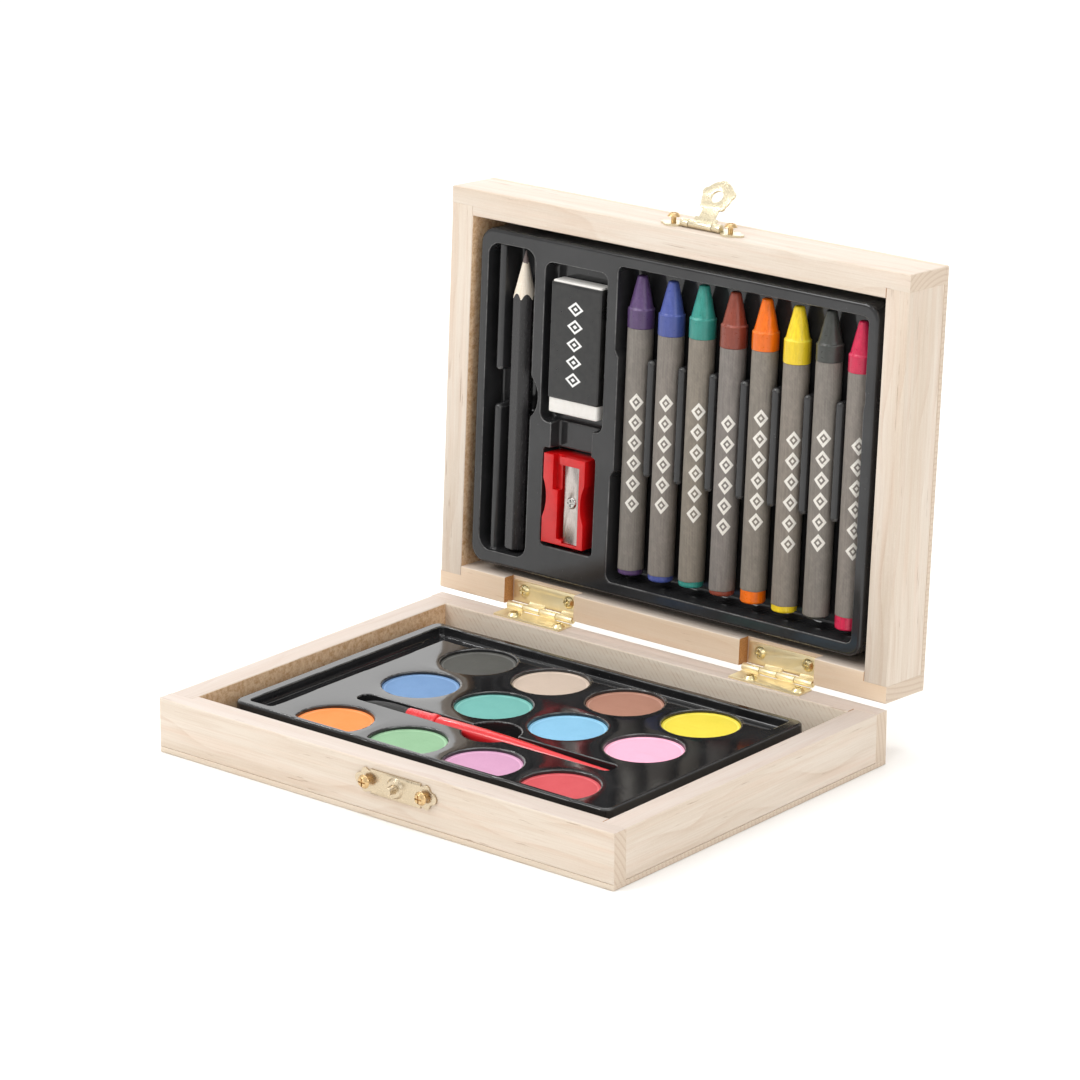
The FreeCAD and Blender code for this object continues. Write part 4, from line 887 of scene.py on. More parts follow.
def paint_tray_field(x, y, z):
    top = 14.3 - 0.07 + 0.045 * np.sin(x / 13 + 1.3) * np.sin(y / 15 + 0.7) \
        + 0.018 * np.sin(x / 5.1 + y / 6.3 + 2.0)
    # the sheet is drawn in a little round each pan
    near = np.full(np.shape(x), 99.0)
    for row in ROWS:
        for cx in PANS_X:
            near = np.minimum(near, disc(x, y, cx, row, 11.3))
    top = top - 0.16 * np.exp(-np.maximum(near, 0) / 2.0)
    lift = top - z
    plate = smax(box2(x, y, -69.1, 67.3, -45.7, 43.8, 3.0) - lift * 0.05,
                 z - top, 0.8)
    flange = smax(box2(x, y, -74.2, 74.2, -53.45, 53.45, 2.0), z - 2.4, 0.25)
    body = smin(plate, flange, 0.9)
    trough = smin(box2(x, y, -65.5, -56.6, -42.9, 41.4, 1.6),
                  box2(x, y, -65.5, 63.5, 32.0, 41.4, 1.6), 0.6)
    for cx in PANS_X:
        trough = smax(trough, -disc(x, y, cx, ROWS[0], 12.15), 0.35)
    hole = smax(trough + lift * 0.16, 11.2 - z, 0.9)
    for row in ROWS:
        for cx in PANS_X:
            d = disc(x, y, cx, row, 11.3)
            if row == ROWS[2]:
                d = smax(d, CHORD - y, 0.5)
            hole = np.minimum(hole, smax(d + lift * 0.015, 9.3 - z, 0.4))
    groove = box2(x, y, -43.4, 49.0, -22.6, -17.0, 2.2)
    hole = smin(hole, smax(groove + lift * 0.03, 9.95 - z, 1.0), 0.25)
    thumb = disc(x, y, 4.4, -18.6, 8.4)
    hole = smin(hole, smax(thumb + lift * 0.12, 8.2 - z, 2.0), 0.3)
    return smax(body, -hole, 0.28)


def lid_tray_field(x, y, z):
    top = -1.0 - 0.06 + 0.04 * np.sin(x / 14 + 0.4) * np.sin(y / 17 + 2.1) \
        + 0.018 * np.sin(x / 6.1 - y / 7.3)
    lift = top - z
    plate = smax(box2(x, y, -72.0, 72.0, -51.1, 51.1, 5.0) - lift * 0.03,
                 z - top, 1.0)
    flange = smax(box2(x, y, -74.2, 74.2, -53.45, 53.45, 2.0), z + 16.2, 0.25)
    body = smin(plate, flange, 0.8)
    pen = box2(x, y, -68.8, -51.0, -46.9, 46.8, 4.0)
    pen = smax(pen + lift * 0.06, -9.36 - z, 0.8)
    for a, b in ((-48.0, -2.0), (8.5, 48.0)):
        ridge = box2(x, y, -65.7, -63.3, a, b, 1.1)
        ridge = smax(ridge - (-2.2 - z) * 0.10, z + 2.2, 0.9)
        pen = smax(pen, -ridge, 0.8)
    notch = smax(disc(x, y, -56.8, 2.9, 8.5) + lift * 0.06, -11.5 - z, 1.6)
    hole = smin(pen, notch, 0.4)
    ers = smax(box2(x, y, -47.0, -23.8, -3.5, 44.3, 2.5) + lift * 0.06,
               -6.25 - z, 1.0)
    link = smax(box2(x, y, -42.8, -27.3, -12.5, -2.0, 0.6) + lift * 0.05,
                -5.2 - z, 0.8)
    shp = smax(box2(x, y, -45.4, -25.8, -41.2, -11.2, 1.3) + lift * 0.03,
               -8.32 - z, 0.5)
    hole = np.minimum(hole, smin(smin(ers, link, 0.4), shp, 0.4))
    well = np.minimum(box2(x, y, -20.0, 68.6, -47.2, -14.2, 2.0),
                      box2(x, y, -20.0, 68.6, 20.8, 47.3, 2.0))
    well = smin(well, box2(x, y, -18.8, 68.3, -20.0, 26.0, 1.0), 0.9)
    cry = smax(well + lift * 0.035, -9.85 - z, 1.8)
    for i in range(7):
        cx = -14.6 + 11.22 * (i + 0.5)
        rib = box2(x, y, cx - 1.35, cx + 1.35, -14.2, 20.8, 1.3)
        rib = smax(rib - (-3.5 - z) * 0.02, z + 3.5, 1.05)
        cry = smax(cry, -rib, 0.5)
    hole = np.minimum(hole, cry)
    return smax(body, -hole, 0.30)


def formed(name, field, lo, hi, step, **kw):
    """The skin of a field: one point to a cell, then moved onto the skin."""
    ax = [np.arange(lo[i], hi[i] + step[i], step[i]) for i in range(3)]
    X, Y = np.meshgrid(ax[0], ax[1], indexing="ij")
    F = np.empty((len(ax[0]), len(ax[1]), len(ax[2])))
    for k, zz in enumerate(ax[2]):
        F[:, :, k] = field(X, Y, np.full_like(X, zz))
    s = F < 0
    cnt = np.zeros(np.array(F.shape) - 1, int)
    for a in (0, 1):
        for b in (0, 1):
            for c in (0, 1):
                cnt += s[a:s.shape[0] - 1 + a, b:s.shape[1] - 1 + b,
                         c:s.shape[2] - 1 + c]
    I, J, K = np.nonzero((cnt > 0) & (cnt < 8))
    idx = -np.ones(cnt.shape, int)
    idx[I, J, K] = np.arange(len(I))
    acc, num = np.zeros((len(I), 3)), np.zeros(len(I))
    corners = [(a, b, c) for a in (0, 1) for b in (0, 1) for c in (0, 1)]
    for a in corners:
        for b in corners:
            if sum(abs(p - q) for p, q in zip(a, b)) != 1 or a > b:
                continue
            fa = F[I + a[0], J + a[1], K + a[2]]
            fb = F[I + b[0], J + b[1], K + b[2]]
            hit = (fa < 0) != (fb < 0)
            t = np.where(hit, fa / np.where(hit, fa - fb, 1), 0)[:, None]
            pt = np.array(a) + t * (np.array(b) - np.array(a))
            acc[hit] += pt[hit]
            num[hit] += 1
    v = (acc / num[:, None] + np.stack([I, J, K], 1)) * np.array(step) \
        + np.array(lo)
    faces = []

    def quads(e, order, inside, shift):
        i, j, k = np.nonzero(e)
        i, j, k = i + shift[0], j + shift[1], k + shift[2]
        q = np.stack([idx[i + o[0], j + o[1], k + o[2]] for o in order], 1)
        flip = ~s[i, j, k]
        q[flip] = q[flip][:, ::-1]
        faces.append(q)

    e = s[:-1, 1:-1, 1:-1] != s[1:, 1:-1, 1:-1]
    quads(e, ((0, -1, -1), (0, 0, -1), (0, 0, 0), (0, -1, 0)), None, (0, 1, 1))
    e = s[1:-1, :-1, 1:-1] != s[1:-1, 1:, 1:-1]
    quads(e, ((-1, 0, -1), (-1, 0, 0), (0, 0, 0), (0, 0, -1)), None, (1, 0, 1))
    e = s[1:-1, 1:-1, :-1] != s[1:-1, 1:-1, 1:]
    quads(e, ((-1, -1, 0), (0, -1, 0), (0, 0, 0), (-1, 0, 0)), None, (1, 1, 0))
    faces = np.concatenate(faces)

    def grad(p):
        h = 0.03
        g = np.empty_like(p)
        for i in range(3):
            d = np.zeros(3)
            d[i] = h
            q1, q2 = p + d, p - d
            g[:, i] = (field(q1[:, 0], q1[:, 1], q1[:, 2])
                       - field(q2[:, 0], q2[:, 1], q2[:, 2])) / (2 * h)
        return g
    for _ in range(3):
        g = grad(v)
        f = field(v[:, 0], v[:, 1], v[:, 2])
        mv = (f / np.maximum((g * g).sum(1), 0.2))[:, None] * g
        ln = np.linalg.norm(mv, axis=1, keepdims=True)
        mv *= np.minimum(1, 0.3 / np.maximum(ln, 1e-9))
        v = v - mv
    n = grad(v)
    n /= np.maximum(np.linalg.norm(n, axis=1, keepdims=True), 1e-9)
    # how sharply the skin turns outwards, from the spread of its normals
    h = 0.32
    bend = np.zeros(len(v))
    f0 = field(v[:, 0], v[:, 1], v[:, 2])
    for i in range(3):
        d = np.zeros(3)
        d[i] = h
        q1, q2 = v + d, v - d
        bend += (field(q1[:, 0], q1[:, 1], q1[:, 2])
                 + field(q2[:, 0], q2[:, 1], q2[:, 2]) - 2 * f0) / (h * h)
    bend = np.clip(bend / 2.2, 0, 1).tolist()
    # the underside: the open rim is drawn down level and closed
    low = lo[2]
    edges = {}
    rim = K == 0
    for f in faces[rim[faces].any(axis=1)].tolist():
        for a, b in zip(f, f[1:] + f[:1]):
            if rim[a] and rim[b]:
                edges[(a, b)] = edges.get((a, b), 0) + 1
    nxt = {a: b for (a, b), c in edges.items() if c > edges.get((b, a), 0)}
    loops = []
    while nxt:
        a0 = next(iter(nxt))
        loop, cur = [a0], nxt.pop(a0)
        while cur != a0 and cur in nxt:
            loop.append(cur)
            cur = nxt.pop(cur)
        if cur == a0:
            loops.append(loop)
    verts = v.tolist()
    nrm = n.tolist()
    all_faces = faces.tolist()
    for loop in loops:
        down, flat = [], []
        for i in loop:
            down.append(len(verts))
            verts.append([v[i, 0], v[i, 1], low])
            nrm.append(n[i].tolist())
            bend.append(0.0)
        for i in loop:
            flat.append(len(verts))
            verts.append([v[i, 0], v[i, 1], low])
            nrm.append([0, 0, -1])
            bend.append(0.0)
        m = len(loop)
        for i in range(m):
            j = (i + 1) % m
            all_faces.append([loop[j], loop[i], down[i], down[j]])
            all_faces.append([down[j], down[i], flat[i], flat[j]])
        all_faces.append(flat[::-1])
    ob = mesh_object(name, verts, all_faces, normals=nrm, **kw)
    # kept as the 'edge' attribute, which the black sheet's shader uses to paint edge highlights
    at = ob.data.attributes.new("edge", "FLOAT", "POINT")
    at.data.foreach_set("value", np.array(bend, np.float32))
    return ob


FINE = 0.45
formed("paint_tray_skin", paint_tray_field, (-75.3, -54.3, 1.62),
       (75.3, 54.3, 15.0), (FINE, FINE, FINE), body="base",
       replaces="paint_tray", slot="tray_plastic",
       mats=[black_sheet("black_sheet_base", 3.0)])
formed("lid_tray_skin", lid_tray_field, (-75.3, -54.3, -16.98),
       (75.3, 54.3, -0.4), (FINE, FINE, FINE), matrix=LID, body="lid",
       replaces="lid_tray", slot="tray_plastic",
       mats=[black_sheet("black_sheet_lid", 8.0, ior=1.46, lift=10)])

# --------------------------------------------------------------- paint cakes
PAINTS = [
    ("black", (84, 84, 80)), ("beige", (200, 182, 166)),
    ("brown", (171, 124, 105)), ("yellow", (236, 216, 74)),
    ("blue", (112, 146, 188)), ("teal", (110, 174, 166)),
    ("sky", (133, 187, 218)), ("pink", (250, 179, 204)),
    ("orange", (243, 142, 78)), ("green", (141, 180, 143)),
    ("lilac", (202, 151, 182)), ("red", (201, 82, 87)),
]


def cake(name, color, cx, cy, chord, seed):
    """A cake that follows its pan, a touch lower at the middle."""
    rng = np.random.default_rng(int(seed * 100))
    ph = rng.uniform(0, 6.28, 8)
    R, top, low = 11.2, 13.1, 9.32
    segs = 144
    verts, rings = [], []

    def reach(a, r):
        if chord is None:
            return r
        lim = cy - chord - 0.1
        sn = math.sin(a)
        if sn < 0 and r * -sn > lim:
            return lim / -sn
        return r

    def surf(px, py, edge):
        # edge is the distance in from the pan wall
        men = 0.26 * math.exp(-edge / 0.35)
        dip = -0.10 + 0.05 * math.sin(px / 3.1 + ph[0]) \
            * math.sin(py / 3.7 + ph[1]) + 0.025 * math.sin(px / 1.3 + ph[2]) \
            * math.sin(py / 1.1 + ph[3])
        return top + men + dip - 0.10
    levels = [(0.0, low), (0.0, top + 0.02), (0.10, None), (0.22, None),
              (0.40, None), (0.65, None), (1.0, None)]
    levels += [(x, None) for x in np.linspace(1.8, 10.3, 12)]
    for inset, z in levels:
        ring = []
        for i in range(segs):
            a = 2 * math.pi * i / segs
            full = reach(a, R)
            r = max(full * (1 - inset / R), 0.05) if inset > 1.2 \
                else full - inset
            px, py = cx + r * math.cos(a), cy + r * math.sin(a)
            zz = z if z is not None else surf(px, py, inset)
            ring.append(len(verts))
            verts.append((px, py, zz))
        rings.append(ring)
    faces = [tuple(rings[0][::-1])]
    for a, b in zip(rings[:-1], rings[1:]):
        for i in range(segs):
            j = (i + 1) % segs
            faces.append((a[i], a[j], b[j], b[i]))
    c = len(verts)
    verts.append((cx, cy, surf(cx, cy, 9.0)))
    for i in range(segs):
        faces.append((rings[-1][i], rings[-1][(i + 1) % segs], c))
    ob = mesh_object("cake_" + name, verts, faces, body="base",
                     replaces="paint_" + name, slot="paint_" + name,
                     mats=[paint("cake_paint_" + name, color, seed,
                                 cx, cy)])
    sharp_by_angle(ob, 50)
    return ob


for n, (name, color) in enumerate(PAINTS):
    row = n // 4
    cake(name, color, PANS_X[n % 4], ROWS[row], CHORD if row == 2 else None,
         n + 1.0)

# --------------------------------------------------------------------- brush
brush_axis = Matrix.Translation(Vector((0, -19.8, 12.5)) * MM) \
    @ Matrix.Rotation(math.radians(90), 4, "Y")
T0, F0, E0 = -42.8, -25.0, 48.4


def handle_profile():
    pts = [(F0 + 10.62, 0.0), (F0 + 10.62, 1.9), (F0 + 11.0, 2.12),
           (F0 + 12.0, 2.2), (F0 + 20.0, 2.32), (F0 + 28.0, 2.33),
           (F0 + 36.0, 2.18), (F0 + 46.0, 1.78), (F0 + 56.0, 1.36),
           (F0 + 66.0, 1.02), (E0 - 1.2, 0.86), (E0 - 0.5, 0.74),
           (E0 - 0.15, 0.48), (E0 - 0.02, 0.2), (E0, 0.0)]
    return pts


red_lac = lacquer("brush_red", (224, 40, 46), 0.16, "z", 2.0, 0.5, 0.4)
handle = lathe("brush_handle_wood", handle_profile(), 64, matrix=brush_axis,
               body="brush", replaces="brush_handle", slot="brush_lacquer",
               mats=[red_lac])
ferrule = lathe("brush_ferrule", [
    (F0 + 10.7, 0.0), (F0 + 10.7, 2.2), (F0 + 10.55, 2.42), (F0 + 10.3, 2.49),
    (F0 + 9.9, 2.5), (F0 + 8.7, 2.5), (F0 + 8.4, 2.45), (F0 + 8.2, 2.33),
    (F0 + 8.0, 2.28), (F0 + 5.2, 2.25), (F0 + 2.5, 2.21), (F0 + 0.35, 2.18), (F0 + 0.08, 2.14), (F0 + 0.0, 2.05),
    (F0 + 0.05, 1.95), (F0 + 0.6, 1.9), (F0 + 0.6, 0.0)][::-1], 64,
    matrix=brush_axis, body="brush", slot="brush_lacquer",
    mats=[plastic("ferrule_red", (226, 44, 50), 0.22, 0.0, 3.0)])


def tuft(a, z, r):
    k = 1 + 0.035 * math.sin(23 * a + 0.25 * z) + 0.025 * math.sin(41 * a + 1)
    flat = 1 - 0.10 * max(0.0, min(1.0, (F0 - z) / 14)) * math.sin(a) ** 2
    return r * k * flat, z


hair = Shade("hair_black")
hp = hair.mm()
hx, hy, hz = hair.sep(hp)
ha = hair.math("ARCTAN2", hx, hy)
hn = hair.noise(hair.comb(hair.math("MULTIPLY", ha, 26.0),
                          hair.math("MULTIPLY", hz, 0.12), 0.0), 1.0, 3.0, 0.6)
hair.set(color=hair.mix(hair.ramp(hn, [(0.40, 0.0), (0.70, 1.0)]),
                        lin((8, 8, 9)), lin((36, 34, 32))),
         rough=hair.remap(hn, 0.3, 0.8, 0.32, 0.55),
         normal=hair.bump(hn, 0.5, 0.00012))
lathe("brush_hair", [
    (T0, 0.0), (T0 + 0.25, 0.14), (T0 + 1.2, 0.42), (T0 + 2.8, 0.9),
    (T0 + 5.0, 1.42), (T0 + 8.0, 1.84), (T0 + 11.5, 2.05), (T0 + 15.0, 2.02),
    (F0 + 0.0, 1.92), (F0 + 0.5, 1.88), (F0 + 0.5, 0.0)], 96, wobble=tuft,
    matrix=brush_axis, body="brush", replaces="brush_bristles", slot="bristle",
    mats=[hair.m])

# ------------------------------------------------------------------- crayons
CRAYONS = [
    ("purple", 0.0, 1.6, 1.5, (92, 68, 112)), ("blue", 0.2, 1.8, 0.9, (76, 90, 162)),
    ("green", 0.9, 1.8, 1.3, (52, 148, 136)), ("brown", 0.8, 1.5, 0.7, (144, 66, 48)),
    ("orange", 0.8, 4.0, 1.9, (248, 116, 6)), ("yellow", 0.5, 2.0, 0.4, (252, 218, 42)),
    ("black", 1.2, 0.8, 2.2, (66, 68, 64)), ("red", 0.0, 4.0, 2.2, (214, 36, 80)),
]
TURNS = [-0.54, -0.46, -0.60, -0.50, -0.56, -0.68, -0.48, -0.70]
STARTS = [19.0, 20.5, 19.4, 18.0, 21.7, 17.7, 19.6, 20.6]
for n, (name, slid, bare, lift, color) in enumerate(CRAYONS):
    at = lid_at(-14.6 + 11.22 * n, -44.6 + slid, -5.85)
    total = 89.5
    cone_at = total - 9.6
    collar = cone_at - 7.2 + lift
    body = "crayon_" + name
    prof = [(0, 0.0), (0.0, 2.9), (0.06, 3.25), (0.22, 3.52), (0.5, 3.68),
            (0.8, 3.7), (collar - 0.05, 3.7), (collar, 3.9),
            (collar + 0.12, 3.94), (collar + 0.4, 3.95), (cone_at - 0.5, 3.95),
            (cone_at - 0.16, 3.93), (cone_at - 0.02, 3.84),
            (cone_at + 0.04, 3.68), (cone_at + 0.14, 3.58),
            (cone_at + 0.45, 3.47)]
    for f in np.linspace(0.08, 1.0, 12):
        prof.append((cone_at + 0.45 + f * 8.55, 3.47 + (1.58 - 3.47) * f))
    prof += [(total - 0.42, 1.5), (total - 0.22, 1.36), (total - 0.07, 1.1),
             (total - 0.01, 0.75), (total, 0.0)]
    rng = np.random.default_rng(50 + n)
    ph = rng.uniform(0, 6.28, 6)

    def wob(a, z, r, ph=ph, cone_at=cone_at):
        e = 0.018 * math.sin(3 * a + ph[0] + z * 0.3) \
            + 0.012 * math.sin(7 * a + ph[1] - z * 0.8)
        if abs(z - cone_at) < 0.6:
            e += 0.02 * math.sin(11 * a + ph[2])
        return r * (1 + e / 4) - abs(e) * 0.5, z
    lathe("stick_" + name, prof, 80, wobble=wob, matrix=at, body=body,
          replaces="crayon_%s_wax" % name, slot="wax_" + name,
          mats=[wax("wax_" + name, color, n + 1.0, collar, cone_at)])

    def wrap(a, z, r, ph=ph, bare=bare, collar=collar):
        # the wrap's own edge runs down the back, and its ends are not square
        seam = 0.05 / (1 + math.exp(-(math.cos(a - 2.6) - 0.86) * 30))
        zz = z
        if z < bare + 0.5:
            zz = z + 0.14 * math.sin(a + ph[3]) + 0.05 * math.sin(5 * a + ph[4])
        elif z > collar - 0.6:
            zz = z - 0.03 + 0.03 * math.sin(a + ph[5])
        return r - 0.02 + (seam - 0.05 if r > 3.8 else 0), zz
    sleeve = [(bare, 3.71), (bare, 3.86), (bare + 0.06, 3.9)]
    sleeve += [(z, 3.9) for z in np.linspace(bare + 0.4, collar - 0.5, 24)]
    sleeve += [(collar - 0.1, 3.9), (collar - 0.03, 3.86), (collar - 0.03, 3.71)]
    lathe("wrap_" + name, sleeve, 96, wobble=wrap, matrix=at, body=body,
          close="loop", replaces="crayon_%s_sleeve" % name, slot="crayon_paper",
          mats=[crayon_paper("wrap_paper_" + name, n + 1.0,
                             tint=(127 + 3 * (n % 3), 121 + 2 * (n % 3),
                                   114 + 2 * (n % 2)),
                             turn=TURNS[n], start=STARTS[n] - bare * 0)])

# -------------------------------------------------------------------- pencil
pencil_at = lid_at(-58.2, -45.7, -5.7)
PL, PR = 91.0, 3.55
HEX_TURN = math.radians(21)


def hex_r(a):
    """Radius of the hexagon, its corners slightly rounded."""
    ap = PR * math.cos(math.pi / 6)
    t = (a - HEX_TURN) % (math.pi / 3)
    t = min(t, math.pi / 3 - t)          # 0 at a corner
    flat = ap / math.cos(math.pi / 6 - t)
    return min(flat, PR - 0.10 - 0.0 * t)


def cone_r(z):
    """Radius of the sharpened end at height z from the bottom."""
    return max(0.0, (PL - 0.35 - z) * (PR + 0.02) / 15.6 + 0.22)


stations = [0.0, 0.0, 0.25] + list(np.linspace(1.0, 72.0, 12)) \
    + list(np.linspace(73.0, PL - 0.6, 120)) + [PL - 0.35, PL - 0.15, PL]
SEG = 192
verts, faces, bare_w, lead_w = [], [], [], []
for k, z in enumerate(stations):
    for i in range(SEG):
        a = 2 * math.pi * i / SEG
        h = hex_r(a)
        if k == 0:
            r = 0.0
        elif k == 1:
            r = h - 0.12
        else:
            r = h
        c = cone_r(z) if z < PL - 0.35 else {PL - 0.35: 0.22, PL - 0.15: 0.17,
                                              PL: 0.0}[z]
        if k > 2:
            r = min(h, c)
        verts.append((r * math.sin(a), -r * math.cos(a), z))
        # positive where the blade has cut
        bare_w.append(h - c if k > 2 else -2.0)
        lead_w.append(z)
for k in range(len(stations) - 1):
    for i in range(SEG):
        j = (i + 1) % SEG
        faces.append((k * SEG + i, k * SEG + j, (k + 1) * SEG + j,
                      (k + 1) * SEG + i))
ps = Shade("pencil_finish")
pp = ps.mm()
px, py, pz = ps.sep(pp)
cut_at = ps.attribute("bare")
ragged = ps.math("ADD", cut_at, ps.math("MULTIPLY", ps.math(
    "SUBTRACT", ps.noise(pp, 3.5, 3.0, 0.6), 0.5), 0.05))
is_bare = ps.ramp(ragged, [(0.0, 0.0), (0.012, 1.0)])
pr = ps.math("SQRT", ps.math("ADD", ps.math("MULTIPLY", px, px),
                             ps.math("MULTIPLY", py, py)))
lead_edge = ps.math("ADD", pr, ps.math("MULTIPLY", ps.math(
    "SUBTRACT", ps.noise(pp, 1.6, 3.0, 0.6), 0.5), 0.5))
is_lead = ps.math("MULTIPLY", ps.ramp(lead_edge, [(0.98, 1.0), (1.06, 0.0)]),
                  is_bare)
ang = ps.math("ARCTAN2", px, py)
wn = ps.noise(ps.comb(ps.math("MULTIPLY", ang, 5.0),
                      ps.math("MULTIPLY", pz, 0.25), 0.0), 1.0, 4.0, 0.6)
knife = ps.noise(ps.comb(ps.math("MULTIPLY", ang, 1.2),
                         ps.math("MULTIPLY", pz, 2.6), 0.0), 1.0, 3.0, 0.5)
wcol = ps.mix(ps.ramp(wn, [(0.40, 0.0), (0.75, 0.7)]), lin((240, 230, 214)),
              lin((214, 194, 168)))
wcol = ps.mix(ps.ramp(knife, [(0.55, 0.0), (0.8, 0.25)]), wcol,
              lin((190, 166, 136)))
lcol = ps.mix(wn, lin((24, 23, 24)), lin((44, 42, 43)))
speck = ps.ramp(ps.noise(pp, 2.8, 3.0, 0.75), [(0.68, 0.0), (0.76, 1.0)])
lcol = ps.mix(ps.math("MULTIPLY", speck, 0.20), lcol, lin((130, 128, 124)))
gcol = ps.mix(knife, lin((92, 82, 82)), lin((140, 122, 118)))
col = ps.mix(is_bare, lcol, wcol)
col = ps.mix(is_lead, col, gcol)
rough = ps.math("ADD", ps.math("MULTIPLY", is_bare, 0.40),
                ps.math("MULTIPLY", is_lead, -0.25))
rough = ps.math("ADD", rough, ps.remap(wn, 0.3, 0.8, 0.20, 0.32), clamp=True)
ps.set(color=col, rough=rough, normal=ps.bump(
    ps.math("ADD", wn, knife), 0.25, 0.00010))
pencil = mesh_object("pencil_stick", verts, faces, matrix=pencil_at,
                     body="pencil", replaces=("pencil_casing", "pencil_lead"),
                     slot="pencil_wood", mats=[ps.m])
for label, values in (("bare", bare_w),):
    at = pencil.data.attributes.new(label, "FLOAT", "POINT")
    at.data.foreach_set("value", np.array(values, np.float32))
bm = bmesh.new()
bm.from_mesh(pencil.data)
bmesh.ops.remove_doubles(bm, verts=bm.verts, dist=1e-7)
bm.to_mesh(pencil.data)
bm.free()
sharp_by_angle(pencil, 24)


# -------------------------------------------------------------------- eraser
def rounded_section(w, t, r, seg=8):
    pts = []
    for cx, cy, a0 in ((w / 2 - r, t / 2 - r, 0), (-w / 2 + r, t / 2 - r, 90),
                       (-w / 2 + r, -t / 2 + r, 180), (w / 2 - r, -t / 2 + r, 270)):
        for i in range(seg + 1):
            a = math.radians(a0 + 90 * i / seg)
            pts.append((cx + r * math.cos(a), cy + r * math.sin(a)))
    return pts


def loft(name, sections, closed_ends=True, ring=False, **kw):
    verts, faces = [], []
    n = len(sections[0][1])
    for z, pts in sections:
        for x, y in pts:
            verts.append((x, y, z))
    rows = len(sections)
    for k in range(rows - (0 if ring else 1)):
        k2 = (k + 1) % rows
        for i in range(n):
            j = (i + 1) % n
            faces.append((k * n + i, k * n + j, k2 * n + j, k2 * n + i))
    if closed_ends and not ring:
        faces.append(tuple(range(n))[::-1])
        faces.append(tuple((rows - 1) * n + i for i in range(n)))
    return mesh_object(name, verts, faces, **kw)


er_w, er_t, er_l = 18.2, 5.4, 39.8
eraser_at = lid_at(-34.5, 0.0, -3.2)
sec = []
for z, inset in ((0.0, 0.42), (0.06, 0.24), (0.18, 0.10), (0.36, 0.02),
                 (0.5, 0.0)):
    sec.append((z, rounded_section(er_w - 2 * inset, er_t - 2 * inset,
                                   max(0.6 - inset * 0.3, 0.3))))
for z in np.linspace(2.0, er_l - 2.0, 20):
    sec.append((z, rounded_section(er_w, er_t, 0.6)))
for z, inset in ((0.5, 0.0), (0.36, 0.02), (0.18, 0.10), (0.06, 0.24),
                 (0.0, 0.42)):
    sec.append((er_l - z, rounded_section(er_w - 2 * inset, er_t - 2 * inset,
                                          max(0.6 - inset * 0.3, 0.3))))
es = Shade("eraser_vinyl")
ep = es.mm()
en = es.noise(ep, 0.5, 4.0, 0.6)
ef = es.noise(ep, 4.0, 3.0, 0.6)
es.set(color=es.mix(es.ramp(en, [(0.4, 0.0), (0.75, 0.5)]), lin((229, 226, 221)),
                    lin((214, 211, 204))), rough=es.remap(ef, .3, .8, .45, .6),
       sss=0.1, sss_radius=(1, 1, 0.9), sss_scale=0.001,
       normal=es.bump(es.math("ADD", en, es.math("MULTIPLY", ef, 0.3)), 0.2,
                      0.0001))
er = loft("eraser_vinyl_block", sec, matrix=eraser_at, body="eraser",
          replaces="eraser_block", slot="eraser_rubber", mats=[es.m])
sharp_by_angle(er, 55)

z0, z1 = 4.5, er_l - 0.6
outer = rounded_section(18.8, 6.0, 0.6)
inner = rounded_section(18.24, 5.44, 0.45)
soft = rounded_section(18.7, 5.9, 0.56)
sec = [(z0, inner), (z0, soft), (z0 + 0.06, outer)]
sec += [(z, outer) for z in np.linspace(z0 + 1, z1 - 1, 12)]
sec += [(z1 - 0.06, outer), (z1, soft), (z1, inner)]
cs = Shade("eraser_card")
cp = cs.mm()
cx_, cy_, cz_ = cs.sep(cp)
cn = cs.noise(cp, 0.35, 4.0, 0.6)
cf = cs.noise(cs.comb(cs.math("MULTIPLY", cx_, 3.0), cs.math("MULTIPLY", cy_, 3.0),
                      cs.math("MULTIPLY", cz_, 0.5)), 1.0, 3.0, 0.6)
base = cs.mix(cs.ramp(cn, [(0.35, 0.0), (0.75, 0.8)]), lin((24, 24, 24)),
              lin((44, 43, 42)))
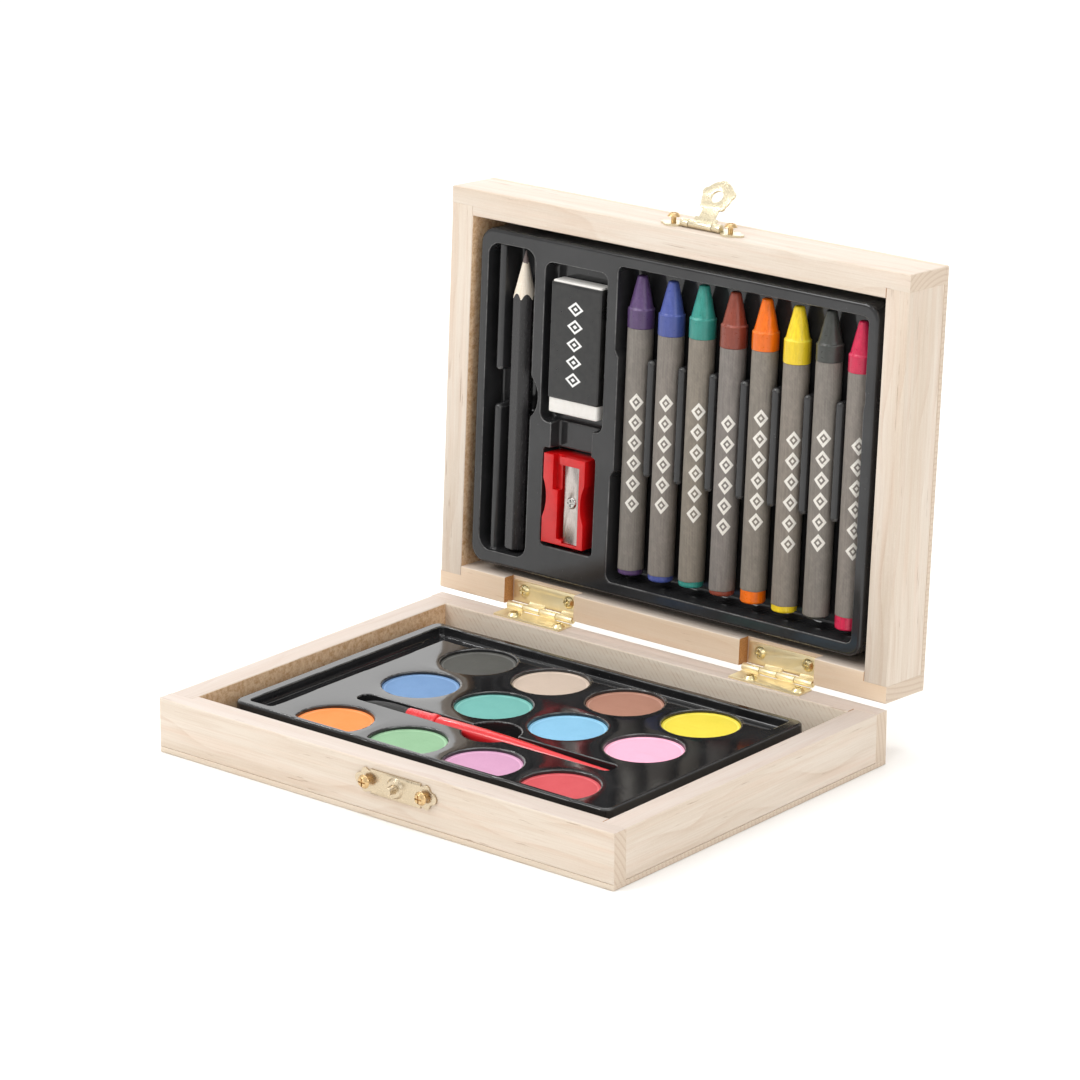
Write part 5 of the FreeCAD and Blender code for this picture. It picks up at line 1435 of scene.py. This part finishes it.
# five plain lozenges along the wide face
k = cs.math("DIVIDE", cs.math("SUBTRACT", cz_, 8.3), 5.3)
f = cs.math("ABSOLUTE", cs.math("SUBTRACT", cs.math("FRACT", k), 0.5))
ins = cs.math("MULTIPLY", cs.math("GREATER_THAN", k, 0.0),
              cs.math("LESS_THAN", k, 5.0))
fr = cs.math("LESS_THAN", cy_, -2.0)
dist = cs.math("ADD", cs.math("DIVIDE", cs.math("MULTIPLY", f, 5.3), 2.25),
               cs.math("DIVIDE", cs.math("ABSOLUTE", cx_), 3.0))
mk = cs.math("SUBTRACT", cs.ramp(dist, [(0.95, 1.0), (1.0, 0.0)]),
             cs.ramp(dist, [(0.60, 1.0), (0.65, 0.0)]))
mk = cs.math("ADD", mk, cs.ramp(dist, [(0.26, 1.0), (0.31, 0.0)]), clamp=True)
mk = cs.math("MULTIPLY", mk, cs.math("MULTIPLY", ins, fr))
col = cs.mix(cs.math("MULTIPLY", mk, 0.95), base, lin((240, 240, 238)))
cs.set(color=col, rough=cs.remap(cn, .3, .8, .26, .42),
       normal=cs.bump(cf, 0.15, 0.00008))
slv = loft("eraser_card_sleeve", sec, ring=True, matrix=eraser_at, body="eraser",
           replaces="eraser_sleeve", slot="eraser_paper", mats=[cs.m])
sharp_by_angle(slv, 55)

# ----------------------------------------------------------------- sharpener
crisp("sharpener_body", 0.32, segs=3, angle=38,
      mats=[plastic("sharpener_red", (209, 17, 20), 0.16, 0.06, 5.0, 0.35)])
crisp("sharpener_blade", 0.06,
      mats=[steel("blade_steel_ground", (188, 179, 174), 0.26, "z", 1.0)])
crisp("sharpener_screw", 0.06,
      mats=[steel("blade_screw_steel", (188, 186, 182), 0.20, "y", 4.0)])

# ------------------------------------------------------------------ hardware
hinge_brass = brass("hinge_brass", (246, 230, 188), 0.36, 1.0, 0.16, 0.5,
                    metal=0.72)
latch_brass = brass("latch_brass", (224, 212, 182), 0.24, 7.0, 0.22,
                    metal=0.85)
strike_brass = brass("strike_brass", (202, 186, 160), 0.25, 9.0, 0.16, 0.5)
pin_brass = brass("pin_brass", (218, 196, 144), 0.28, 3.0, 0.3, 0.6)
screw_brass = brass("screw_brass", (236, 220, 172), 0.26, 5.0, 0.25, 0.6,
                    other=(214, 182, 134))
for node in ("hinge_base_leaves", "hinge_lid_leaves"):
    crisp(node, 0.09, mats=[hinge_brass])
for node, finish in (("latch_strike_plate", strike_brass),
                     ("latch_hasp_plate", latch_brass),
                     ("latch_flap", latch_brass)):
    crisp(node, 0.22, segs=3, mats=[finish])
for node in ("hinge_pins", "latch_pin"):
    crisp(node, 0.08, mats=[pin_brass])
for node in ("base_screws", "lid_screws"):
    crisp(node, 0.08, mats=[screw_brass])
